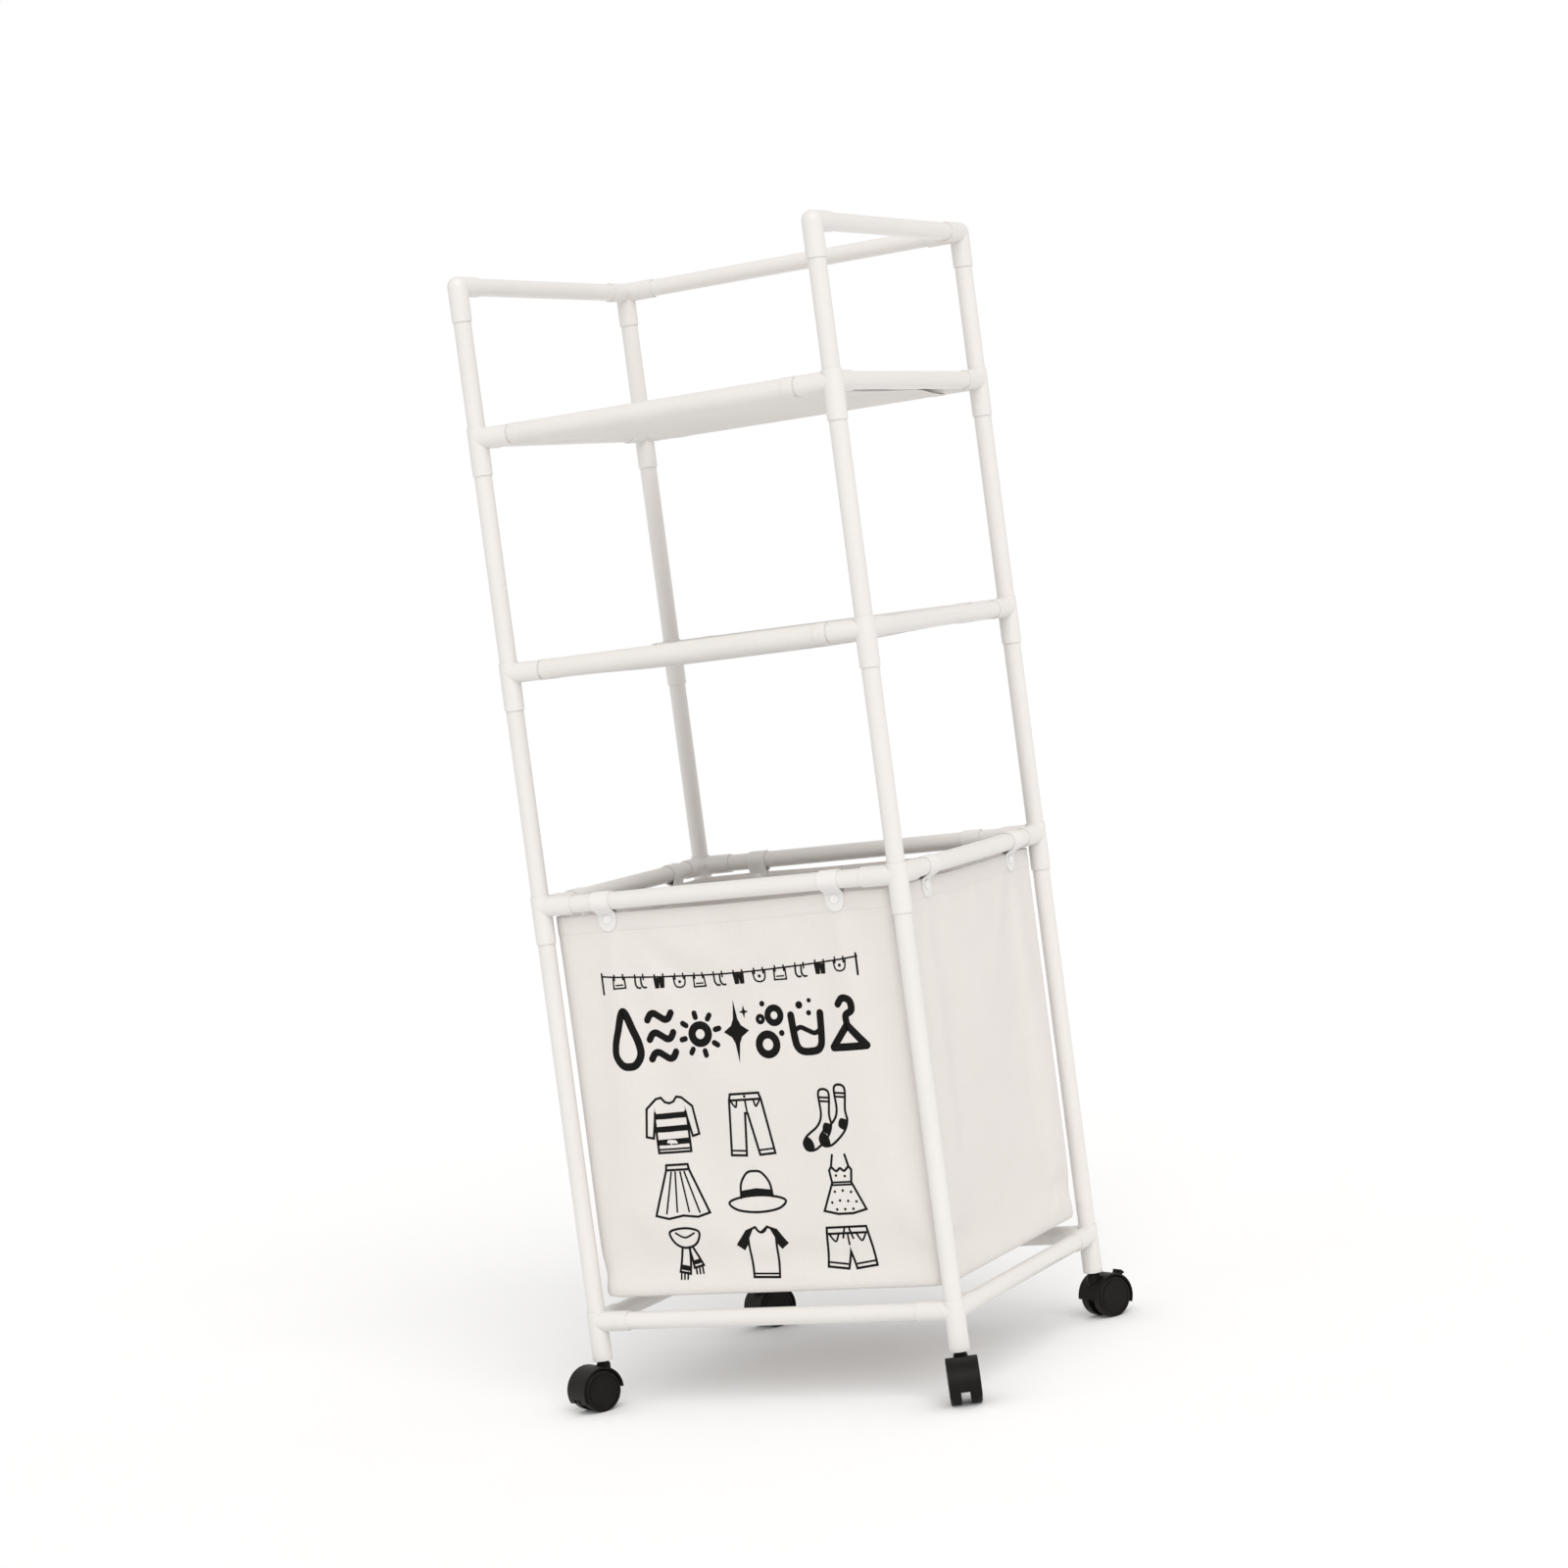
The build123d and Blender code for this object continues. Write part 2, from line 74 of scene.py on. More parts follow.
BAG_WALL = 1.2 * MM
BAG_CORNER_R = 23.3 * MM
BAG_IN_BOX = 0.45 * MM          # bag wall inside the box, so that its hem may stand proud
BAG_GRID = 10 * MM              # cells of the cloth, before it is subdivided
BAG_HEM = 19 * MM
BAG_SEAM = 7 * MM               # seam allowance sewn down along the bottom edge
BAG_SEAM_START = 1.5 * MM       # above the floor's edge
BAG_FLOOR_HOLD = 25 * MM        # height over which the base board steadies the wall
BAG_SNAP_HOLD = 14 * MM         # reach of a snap's hold on the cloth
SLEEVE_WALL = 1.0 * MM
SLEEVE_GRID = 9 * MM
SLEEVE_HEM = 13 * MM
SLEEVE_ROUNDING = 0.17 * MM     # what subdivision takes off the turns round the rails
SLEEVE_WAIST = 9 * MM           # how far each free side pulls in
SLEEVE_SEWN = 0.84              # share of the gap between the layers that sewing closes
SLEEVE_SAG_TOP = 1.6 * MM
SLEEVE_SAG_UNDER = 2.2 * MM
SLEEVE_SEAM = 26 * MM, 38 * MM  # where the cloth's ends overlap, forwards from the rear rail
HEM_PROUD = 0.4 * MM            # each side of the cloth that it folds round

TAB_ALONG_X = 136 * MM          # tab centres on the front and rear rails
TAB_ALONG_Y = 110 * MM          # tab centres on the side rails
TAB_WIDTH = 21.5 * MM
TAB_WALL = 1.2 * MM
TAB_OUTER_DEPTH = 3.4 * MM      # middle of the outer leg, inward from the rail axis
TAB_INNER_DEPTH = 6.6 * MM
TAB_OUTER_END = 33 * MM         # below the rail axis
TAB_INNER_END = 28 * MM
TAB_PINCH = 13.8 * MM           # below the rail axis, where the two legs come together
SNAP_DROP = 20 * MM
SNAP_R = 5.25 * MM
SNAP_HEIGHT = 1.5               # millimetres, for a height of 1 in the outlines below
SNAP_EDGE = 0.3                 # height of the straight edge
# Rings of each half from its edge inwards, (share of the radius, height), and its middle's height.
SNAP_CAP = ((0.86, 0.8), (0.66, 1.0), (0.55, 1.0), (0.42, 0.72), (0.22, 0.6)), 0.55
SNAP_SOCKET = ((0.9, 0.45), (0.5, 0.5), (0.42, 0.95), (0.26, 0.9), (0.2, 0.45)), 0.45

STITCH = 3.0 * MM
STITCH_GAP = 1.1 * MM
THREAD_R = 0.28 * MM
THREAD_LIFT = 0.05 * MM         # above the cloth it is sewn through
HEM_STITCH_IN = 3 * MM          # from the bag hem's lower edge
SEAM_STITCH_IN = 2 * MM         # from the bag seam's upper edge
SLEEVE_STITCH_IN = 3.5 * MM     # from the sleeve hem's inner edge
TAB_STITCH_IN = 2.2 * MM        # from the tab's edge

# ---- small tools ------------------------------------------------------------------------------


def select_only(*pieces):
    """Leaves object mode with just these pieces selected, the last one active."""
    if bpy.context.object and bpy.context.object.mode != "OBJECT":
        bpy.ops.object.mode_set(mode="OBJECT")
    bpy.ops.object.select_all(action="DESELECT")
    for piece in pieces:
        piece.select_set(True)
        bpy.context.view_layer.objects.active = piece


def fresh(name):
    """Names the primitive that was just added, and gives its mesh the same name."""
    piece = bpy.context.object
    piece.name = name
    piece.data.name = name
    return piece


def settle(piece):
    """Puts a piece's place and turn into its mesh."""
    select_only(piece)
    bpy.ops.object.transform_apply(location=True, rotation=True, scale=True)
    return piece


def placed(name, data):
    """A new object in the scene, for a mesh, a curve, a light or a camera."""
    thing = bpy.data.objects.new(name, data)
    bpy.context.scene.collection.objects.link(thing)
    return thing


def apply_modifier(piece, kind, **settings):
    select_only(piece)
    modifier = piece.modifiers.new(kind.title(), kind)
    for name, value in settings.items():
        setattr(modifier, name, value)
    bpy.ops.object.modifier_apply(modifier=modifier.name)


def subdivide_surface(piece, levels=1):
    apply_modifier(piece, "SUBSURF", levels=levels, render_levels=levels)


def copy_of(piece, name):
    """A copy with its own mesh."""
    twin = piece.copy()
    twin.data = piece.data.copy()
    twin.name = name
    twin.data.name = name
    bpy.context.scene.collection.objects.link(twin)
    return twin


def join(pieces, name):
    select_only(*pieces)
    if len(pieces) > 1:
        bpy.ops.object.join()
    return fresh(name)


def smooth(piece, angle=40):
    select_only(piece)
    bpy.ops.object.shade_smooth_by_angle(angle=radians(angle))


def turned(piece, matrix):
    """Moves a piece's mesh, keeping its object at the origin."""
    piece.data.transform(matrix)
    piece.data.update()
    return piece


def cuts(*stretches):
    """Places of the cuts along a cloth: for each (length, cell) stretch, cells of about that size."""
    places = [0.0]
    for length, cell in stretches:
        start, count = places[-1], max(1, round(length / cell))
        places += [start + length * number / count for number in range(1, count + 1)]
    return places


def cloth_grid(name, across, along):
    """A flat grid with its cuts at the given places, and its UV map in metres. Code then bends it."""
    columns, rows = len(across) - 1, len(along) - 1
    bpy.ops.object.select_all(action="DESELECT")
    bpy.ops.mesh.primitive_grid_add(x_subdivisions=columns, y_subdivisions=rows, size=1)
    cloth = fresh(name)
    for vertex in cloth.data.vertices:
        column, row = round((vertex.co.x + 0.5) * columns), round((vertex.co.y + 0.5) * rows)
        vertex.co = (across[column], along[row], 0)
    for loop, uv in zip(cloth.data.loops, cloth.data.uv_layers.active.uv):
        uv.vector = cloth.data.vertices[loop.vertex_index].co.xy
    return cloth


def shrink_inwards(shares):
    """Divides the selected face into rings, each a share of the whole face's size."""
    reached = 1.0
    for share in shares:
        bpy.ops.mesh.extrude_region_move()
        bpy.ops.transform.resize(value=(share / reached, share / reached, 1))
        reached = share


def merge_doubles(piece, distance=0.01 * MM):
    select_only(piece)
    bpy.ops.object.mode_set(mode="EDIT")
    bpy.ops.mesh.select_all(action="SELECT")
    bpy.ops.mesh.remove_doubles(threshold=distance)
    bpy.ops.object.mode_set(mode="OBJECT")


def face_outwards(piece):
    select_only(piece)
    bpy.ops.object.mode_set(mode="EDIT")
    bpy.ops.mesh.select_all(action="SELECT")
    bpy.ops.mesh.normals_make_consistent(inside=False)
    bpy.ops.object.mode_set(mode="OBJECT")


def hang(cloth, held, slack, reach, frames=24):
    """Lets a cloth hang and crease between the points that are held, each moving at most a reach."""
    rest = [v.co.copy() for v in cloth.data.vertices]
    group = cloth.vertex_groups.new(name="held")
    for index, weight in held.items():
        group.add([index], weight, "REPLACE")
    select_only(cloth)
    cloth_modifier = cloth.modifiers.new("Cloth", "CLOTH")
    setup = cloth_modifier.settings
    setup.quality = 8
    setup.mass = 0.15
    setup.tension_stiffness = 40
    setup.compression_stiffness = 40
    setup.shear_stiffness = 20
    setup.bending_stiffness = 2
    setup.air_damping = 2
    setup.shrink_min = -slack
    setup.vertex_group_mass = "held"
    cloth_modifier.point_cache.frame_start = 1
    cloth_modifier.point_cache.frame_end = frames
    for number in range(1, frames + 1):
        bpy.context.scene.frame_set(number)
    bpy.ops.object.modifier_apply(modifier=cloth_modifier.name)
    bpy.context.scene.frame_set(1)
    for vertex, start in zip(cloth.data.vertices, rest):
        move = vertex.co - start
        if move.length > 0:
            vertex.co = start + move * reach / (reach + move.length)
    cloth.vertex_groups.clear()


def surface_of(piece):
    return BVHTree.FromPolygons(
        [v.co for v in piece.data.vertices], [tuple(p.vertices) for p in piece.data.polygons])


def band(cloth, name, wanted, wall, bevel=0.0):
    """A thicker band of the cloth, such as a hem. wanted says which faces, by their middle's UV."""
    strip = copy_of(cloth, name)
    select_only(strip)
    shape = bmesh.new()
    shape.from_mesh(strip.data)
    uv = shape.loops.layers.uv.active
    spare = []
    for face in shape.faces:
        middle = sum((loop[uv].uv for loop in face.loops), Vector((0, 0))) / len(face.loops)
        if not wanted(middle.x, middle.y):
            spare.append(face)
    bmesh.ops.delete(shape, geom=spare, context="FACES")
    shape.to_mesh(strip.data)
    shape.free()
    apply_modifier(strip, "SOLIDIFY", thickness=wall, offset=0, use_even_offset=True)
    if bevel:
        apply_modifier(strip, "BEVEL", width=bevel, segments=2, limit_method="ANGLE",
                       angle_limit=radians(50))
    smooth(strip, 60)
    return strip


def thread_stitch():
    """One stitch along +X: a short thread that dips into the cloth at both ends."""
    bpy.ops.object.select_all(action="DESELECT")
    bpy.ops.mesh.primitive_cylinder_add(
        vertices=6, radius=THREAD_R, depth=STITCH, end_fill_type="TRIFAN", rotation=(0, pi / 2, 0))
    stitch = settle(fresh("stitch"))
    bpy.ops.object.mode_set(mode="EDIT")
    for cut in (-0.36, 0, 0.36):
        bpy.ops.mesh.select_all(action="SELECT")
        bpy.ops.mesh.bisect(plane_co=(cut * STITCH, 0, 0), plane_no=(1, 0, 0))
    bpy.ops.object.mode_set(mode="OBJECT")
    for vertex in stitch.data.vertices:
        along = abs(vertex.co.x) / (STITCH / 2)
        narrow = 1 - 0.45 * along ** 4
        dip = 1.3 * THREAD_R * along ** 4
        vertex.co = (vertex.co.x, vertex.co.y * narrow, vertex.co.z * narrow - dip)
    return stitch


def sew(name, path, up_of):
    """Stitches laid one after another along a path. up_of gives the cloth's normal at a point."""
    pattern = thread_stitch()
    places, faces = [], []
    corners = [v.co.copy() for v in pattern.data.vertices]
    sides = [tuple(p.vertices) for p in pattern.data.polygons]
    lengths = [0.0]
    for a, b in zip(path, path[1:]):
        lengths.append(lengths[-1] + (b - a).length)
    step = STITCH + STITCH_GAP
    count = int((lengths[-1] - STITCH) / step)
    spare = lengths[-1] - count * step
    span = 0
    for number in range(count):
        at = spare / 2 + (number + 0.5) * step
        while lengths[span + 1] < at:
            span += 1
        part = (at - lengths[span]) / (lengths[span + 1] - lengths[span])
        middle = path[span].lerp(path[span + 1], part)
        along = (path[span + 1] - path[span]).normalized()
        up = up_of(middle)
        across = up.cross(along).normalized()
        up = along.cross(across)
        start = len(places)
        for corner in corners:
            places.append(middle + along * corner.x + across * corner.y
                          + up * (corner.z + THREAD_LIFT))
        faces += [tuple(start + i for i in side) for side in sides]
    mesh = bpy.data.meshes.new(name)
    mesh.from_pydata(places, [], faces)
    mesh.update()
    row = placed(name, mesh)
    bpy.data.objects.remove(pattern)
    smooth(row, 60)
    return row


def belongs(piece, slot, *nodes, finish=None):
    """The piece moves with the rack, wears its slot's finish or another, and stands for CAD nodes."""
    wear(piece, finish or FINISHES[slot])
    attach(piece, "rack")
    if nodes:
        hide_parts(*nodes)
    return piece


# ---- finishes ---------------------------------------------------------------------------------


class Wire:
    """A socket in a finish's nodes. Python's operators on wires add Math nodes."""

    def __init__(self, finish, socket):
        self.finish, self.socket = finish, socket

    def maths(self, operation, *values):
        inputs = dict(enumerate((self, *values)))
        return self.finish.node("ShaderNodeMath", {"operation": operation}, inputs)["Value"]

    def __add__(self, other):
        return self.maths("ADD", other)

    def __mul__(self, other):
        return self.maths("MULTIPLY", other)

    def __sub__(self, other):
        return self.maths("SUBTRACT", other)

    def __rsub__(self, other):
        return self * -1 + other

    __radd__ = __add__
    __rmul__ = __mul__


class Finish:
    """A material on one Principled shader. What same holds is the same all over the surface."""

    def __init__(self, name, **same):
        self.material = bpy.data.materials.new(name)
        self.material.use_nodes = True
        self.tree = self.material.node_tree
        self.shader = self.tree.nodes["Principled BSDF"]
        for socket, value in same.items():
            self.shader.inputs[socket.replace("_", " ")].default_value = value

    def node(self, kind, settings=None, inputs=None):
        """Adds a node: its settings first, then its sockets' values or wires. Gives its outputs."""
        added = self.tree.nodes.new(kind)
        for name, value in (settings or {}).items():
            if name == "stops":
                for stop, (place, colour) in zip(added.color_ramp.elements, value):
                    stop.position, stop.color = place, (*colour, 1)
            else:
                setattr(added, name, value)
        for name, value in (inputs or {}).items():
            self.put(added.inputs[name], value)
        return {output.name: Wire(self, output) for output in added.outputs if output.enabled}

    def put(self, socket, value):
        if isinstance(value, Wire):
            self.tree.links.new(value.socket, socket)
        elif isinstance(value, tuple) and len(value) == 3 and socket.type == "RGBA":
            socket.default_value = (*value, 1)
        else:
            socket.default_value = value

    def place(self):
        return self.node("ShaderNodeTexCoord")["Object"]

    def cloth_uv(self):
        uv = self.node("ShaderNodeUVMap", {"uv_map": "UVMap"})["UV"]
        parts = self.node("ShaderNodeSeparateXYZ", None, {"Vector": uv})
        return uv, parts["X"], parts["Y"]

    def stretched(self, vector, scale):
        return self.node("ShaderNodeMapping", None, {"Vector": vector, "Scale": scale})["Vector"]

    def noise(self, vector, scale, detail=3.0, rough=0.5):
        inputs = {"Vector": vector, "Scale": scale, "Detail": detail, "Roughness": rough}
        return self.node("ShaderNodeTexNoise", None, inputs)["Fac"]

    def between(self, wire, low, high, to_low=0.0, to_high=1.0):
        inputs = {0: wire, 1: low, 2: high, 3: to_low, 4: to_high}
        return self.node("ShaderNodeMapRange", {"interpolation_type": "SMOOTHSTEP"}, inputs)["Result"]

    def mix(self, mask, first, second):
        inputs = {0: mask, 6: first, 7: second}
        return self.node("ShaderNodeMix", {"data_type": "RGBA"}, inputs)["Result"]

    def bumpy(self, height, distance, strength=1.0):
        inputs = {"Height": height, "Distance": distance, "Strength": strength}
        self.put(self.shader.inputs["Normal"], self.node("ShaderNodeBump", None, inputs)["Normal"])

    def set(self, **sockets):
        for name, value in sockets.items():
            self.put(self.shader.inputs[name.replace("_", " ")], value)
        return self


def powder_coated_steel():
    """White powder coat: a fine orange peel, thin spots a touch greyer, a few handling smears."""
    coat = Finish("white powder coat", Coat_Roughness=0.3, Specular_IOR_Level=0.45)
    place = coat.place()
    peel = coat.noise(place, 620, 2.0)
    cloud = coat.noise(place, 9, 4.0)
    speck = coat.between(coat.noise(place, 1900, 1.0), 0.70, 0.78)
    smear = coat.between(coat.noise(coat.stretched(place, (1, 1, 0.25)), 40, 4.0), 0.55, 0.75)
    white = coat.mix(cloud, (0.735, 0.710, 0.685), (0.785, 0.760, 0.735))
    white = coat.mix(speck * 0.25, white, (0.62, 0.60, 0.58))
    coat.bumpy(peel + cloud * 0.3, 0.00012)
    return coat.set(Base_Color=white, Roughness=smear * 0.12 + cloud * 0.08 + 0.27, Coat_Weight=0.15)


DULL = 0.14          # specular level of the black plastics


def moulded_plastic(name, low, high, gloss, grain):
    """Moulded plastic: a fine tool grain, faint flow marks and a slightly uneven gloss."""
    plastic = Finish(name, Specular_IOR_Level=0.5 if high[0] > 0.4 else DULL)
    place = plastic.place()
    fine = plastic.noise(place, 1500, 2.0)
    flow = plastic.noise(plastic.stretched(place, (1, 1, 0.35)), 30, 3.0)
    rub = plastic.between(plastic.noise(place, 140, 5.0, 0.65), 0.58, 0.72)
    plastic.bumpy(fine * grain + flow * 0.6, 0.00010)
    colour = plastic.mix(flow, low, high)
    rubbed = tuple(c * 1.35 + 0.01 if c < 0.4 else c * 0.97 for c in high)
    return plastic.set(Base_Color=plastic.mix(rub * 0.4, colour, rubbed),
                       Roughness=flow * 0.12 + rub * 0.08 + gloss)


def wheel_nylon():
    """Black wheels: dull where the tread picks up dust, with scuffs across it."""
    nylon = Finish("black wheel nylon", Specular_IOR_Level=DULL)
    place = nylon.place()
    grain = nylon.noise(place, 1100, 2.0)
    scuff = nylon.between(nylon.noise(nylon.stretched(place, (1, 1, 3)), 170, 5.0, 0.7), 0.56, 0.70)
    dust = nylon.between(nylon.noise(place, 60, 4.0), 0.45, 0.75)
    nylon.bumpy(grain + scuff * 0.5, 0.00012)
    colour = nylon.mix(dust * 0.35, (0.0065, 0.0055, 0.0048), (0.015, 0.0132, 0.0118))
    return nylon.set(Base_Color=nylon.mix(scuff * 0.3, colour, (0.030, 0.027, 0.0245)),
                     Roughness=dust * 0.2 + scuff * 0.1 + 0.38)


def zinc_steel():
    """Bright zinc plating with fine turning marks and faint clouds."""
    zinc = Finish("bright zinc steel", Metallic=1.0)
    place = zinc.place()
    turning = zinc.noise(zinc.stretched(place, (1, 1, 14)), 320, 2.0)
    cloud = zinc.noise(place, 120, 4.0)
    zinc.bumpy(turning, 0.00005)
    return zinc.set(Base_Color=zinc.mix(cloud, (0.58, 0.58, 0.57), (0.72, 0.72, 0.70)),
                    Roughness=turning * 0.12 + cloud * 0.12 + 0.18)


def woven_cloth(name, dark, light, pitch, depth, sheen, rough=0.82):
    """Plain weave, with its threads over and under each other, slubs both ways and soft clouds; the
    gaps between the threads are painted darker, as shade.
    """
    cloth = Finish(name, Sheen_Weight=sheen, Sheen_Roughness=0.45, Specular_IOR_Level=0.25)
    uv, across, along = cloth.cloth_uv()
    wander = cloth.noise(uv, 70, 2.0) * 0.5
    warp = (across * (pi / pitch) + wander).maths("SINE")
    weft = (along * (pi / pitch) + wander).maths("SINE")
    over = cloth.between(warp * weft, -0.35, 0.35)
    threads = warp.maths("ABSOLUTE") * over + weft.maths("ABSOLUTE") * (1 - over)
    slub_warp = cloth.noise(cloth.stretched(uv, (1, 0.03, 1)), 900, 2.0)
    slub_weft = cloth.noise(cloth.stretched(uv, (0.03, 1, 1)), 900, 2.0)
    slub = slub_warp * over + slub_weft * (1 - over)
    cloud = cloth.noise(uv, 14, 4.0)
    fuzz = cloth.noise(uv, 5200, 2.0)
    height = threads + slub * 0.7 + fuzz * 0.2
    cloth.bumpy(height, depth, 0.8)
    # Painted shade: the colour is darker where the threads dip into the gaps between them. The slubs
    # and the clouds vary the tone for real.
    body = cloth.between(threads + slub * 0.6, 0.3, 1.3)
    tone_with_hollow_shade = cloth.mix(body * 0.75 + cloud * 0.25, dark, light)
    return cloth.set(Base_Color=tone_with_hollow_shade, Roughness=slub * 0.12 + rough - 0.06)


def ribbed_webbing():
    """Narrow white webbing: crosswise ribs, packed close, with a selvedge along each side; the
    troughs between the ribs are painted darker, as shade.
    """
    webbing = Finish("white ribbed webbing", Sheen_Weight=0.2, Sheen_Roughness=0.4,
                     Specular_IOR_Level=0.3)
    uv, across, along = webbing.cloth_uv()
    rib = (along * (2 * pi / (1.1 * MM)) + webbing.noise(uv, 160, 2.0) * 0.8).maths("SINE")
    cell = (across * (2 * pi / (0.9 * MM))).maths("SINE")
    edge = webbing.between(across, 0.6 * MM, 1.6 * MM)
    fuzz = webbing.noise(uv, 3200, 2.0)
    webbing.bumpy(rib * 0.5 + rib * cell * 0.3 + fuzz * 0.4 + edge * 0.5, 0.00022, 0.8)
    # Painted shade: the colour follows the ribs, darker in the troughs between them; the fuzz varies
    # the tone for real.
    tone_with_hollow_shade = webbing.mix(rib * 0.3 + 0.5 + fuzz * 0.2, (0.76, 0.745, 0.725), (0.89, 0.875, 0.855))
    return webbing.set(Base_Color=tone_with_hollow_shade, Roughness=fuzz * 0.15 + 0.65)


def printed_ink():
    """Flat black ink that the weave shows through, a little thinner here and there."""
    ink = Finish("black screen ink", Specular_IOR_Level=0.12)
    place = ink.place()
    grid = ink.noise(ink.stretched(place, (1, 0.05, 1)), 1100, 2.0)
    thin = ink.between(ink.noise(place, 210, 5.0, 0.6), 0.60, 0.78)
    ink.bumpy(grid, 0.00010)
    return ink.set(Base_Color=ink.mix(thin * 0.5, (0.006, 0.0055, 0.005), (0.03, 0.028, 0.026)),
                   Roughness=grid * 0.2 + 0.5)


def sewing_thread():
    """White twisted thread."""
    thread = Finish("white sewing thread", Sheen_Weight=0.3, Specular_IOR_Level=0.4)
    place = thread.place()
    twist = thread.noise(place, 2600, 2.0)
    thread.bumpy(twist, 0.0001)
    return thread.set(Base_Color=thread.mix(twist, (0.66, 0.65, 0.62), (0.86, 0.85, 0.82)),
                      Roughness=twist * 0.2 + 0.45)


FINISHES = {
    "powder_coated_tube": powder_coated_steel(),
    "white_plastic": moulded_plastic(
        "white moulded plastic", (0.735, 0.712, 0.690), (0.785, 0.762, 0.740), 0.30, 0.5),
    "snap_plastic": moulded_plastic(
        "glossy snap plastic", (0.80, 0.785, 0.765), (0.86, 0.845, 0.83), 0.16, 0.2),
    "black_plastic": moulded_plastic(
        "black moulded nylon", (0.0055, 0.0047, 0.0041), (0.0095, 0.0083, 0.0074), 0.40, 1.0),
    "wheel_plastic": wheel_nylon(),
    "bare_steel": zinc_steel(),
    "hamper_fabric": woven_cloth(
        "warm white oxford cloth", (0.685, 0.645, 0.615), (0.867, 0.828, 0.80),
        0.85 * MM, 0.00020, 0.12),
    "shelf_fabric": woven_cloth(
        "white shelf cloth", (0.68, 0.655, 0.625), (0.86, 0.832, 0.80),
        0.80 * MM, 0.00018, 0.12),
    "board_fabric": woven_cloth(
        "board cover cloth", (0.58, 0.55, 0.52), (0.77, 0.74, 0.71),
        0.7 * MM, 0.00016, 0.1),
    "tab_webbing": ribbed_webbing(),
    "hamper_print": printed_ink(),
}
THREAD = sewing_thread()


def wear(piece, finish):
    """Gives a piece its finish."""
    piece.data.materials.clear()
    piece.data.materials.append(finish.material)


# ---- hamper bag -------------------------------------------------------------------------------


def round_the_bag(distance, half_x, half_y, radius):
    """A point on the bag's plan outline, from the middle of its back, and the normal there."""
    straight_x, straight_y = 2 * (half_x - radius), 2 * (half_y - radius)
    arc = pi / 2 * radius
    at = distance - straight_x / 2
    if at < 0:
        return Vector((-distance, half_y)), Vector((0, 1))
    # Each corner's arc in turn, with the straight side after it.
    corners = ((-1, 1), (-1, -1), (1, -1), (1, 1))
    for number, (side, depth) in enumerate(corners):
        centre = Vector((side * (half_x - radius), depth * (half_y - radius)))
        start = pi / 2 + number * pi / 2
        if at <= arc:
            angle = start + at / radius
            normal = Vector((cos(angle), sin(angle)))
            return centre + normal * radius, normal
        at -= arc
        length = straight_y if number % 2 == 0 else straight_x
        angle = start + pi / 2
        normal = Vector((cos(angle), sin(angle)))
        if at <= length or number == 3:
            heading = Vector((-normal.y, normal.x))
            return centre + normal * radius + heading * at, normal
        at -= length
    return Vector((0, half_y)), Vector((0, 1))


def tab_centres():
    """Where the eight tabs hang, with the direction into the bag."""
    places = []
    for side in (-1, 1):
        places.append((Vector((side * TAB_ALONG_X, -post_y, hamper_z)), Vector((0, 1, 0))))
        places.append((Vector((side * TAB_ALONG_X, post_y, hamper_z)), Vector((0, -1, 0))))
        places.append((Vector((-post_x, side * TAB_ALONG_Y, hamper_z)), Vector((1, 0, 0))))
        places.append((Vector((post_x, side * TAB_ALONG_Y, hamper_z)), Vector((-1, 0, 0))))
    return places


def make_bag_cloth():
    """The bag's wall and floor as one sheet, hung from its snaps."""
    half_x = bag_high.x - BAG_IN_BOX - BAG_WALL / 2
    half_y = bag_high.y - BAG_IN_BOX - BAG_WALL / 2
    radius = BAG_CORNER_R - BAG_IN_BOX - BAG_WALL / 2
    around = 4 * (half_x + half_y - 2 * radius) + 2 * pi * radius
    floor_z = bag_low.z + BAG_WALL / 2
    tall = bag_high.z - HEM_PROUD - floor_z
    arc = (pi / 2 * radius, BAG_GRID * 0.6)
    side_x, side_y = (2 * (half_x - radius), BAG_GRID), (2 * (half_y - radius), BAG_GRID)
    half_side = (half_x - radius, BAG_GRID)
    across = cuts(half_side, arc, side_y, arc, side_x, arc, side_y, arc, half_side)
    bag = cloth_grid("hamper_bag_cloth", across, cuts((tall, BAG_GRID)))
    for vertex in bag.data.vertices:
        plan, _ = round_the_bag(vertex.co.x, half_x, half_y, radius)
        vertex.co = (plan.x, plan.y, floor_z + vertex.co.y)
    merge_doubles(bag)
    select_only(bag)
    bpy.ops.object.mode_set(mode="EDIT")
    shape = bmesh.from_edit_mesh(bag.data)
    bpy.ops.mesh.select_all(action="DESELECT")
    for edge in shape.edges:
        edge.select = edge.is_boundary and all(v.co.z < floor_z + MM for v in edge.verts)
    shape.select_flush_mode()
    bpy.ops.mesh.edge_face_add()
    shrink_inwards((0.96, 0.85, 0.6, 0.3))
    bpy.ops.object.mode_set(mode="OBJECT")
    face_outwards(bag)
    layer = bag.data.uv_layers.active.uv
    for polygon in bag.data.polygons:
        if polygon.normal.z < -0.9:
            for index in polygon.loop_indices:
                point = bag.data.vertices[bag.data.loops[index].vertex_index].co
                layer[index].vector = (point.x, point.y)
    held = {}
    snaps = [place + inward * 4 * MM - Vector((0, 0, SNAP_DROP)) for place, inward in tab_centres()]
    for vertex in bag.data.vertices:
        low = max(0.0, 1 - (vertex.co.z - floor_z) / BAG_FLOOR_HOLD)
        near = min((vertex.co - snap).length for snap in snaps)
        by_snap = max(0.0, min(1.0, 1.6 - near / BAG_SNAP_HOLD))
        hem = 0.35 if vertex.co.z > bag_high.z - BAG_HEM else 0.0
        held[vertex.index] = max(low, by_snap, hem, 0.02)
    hang(bag, held, slack=0.007, reach=6 * MM)
    subdivide_surface(bag)
    return bag, around, tall, floor_z


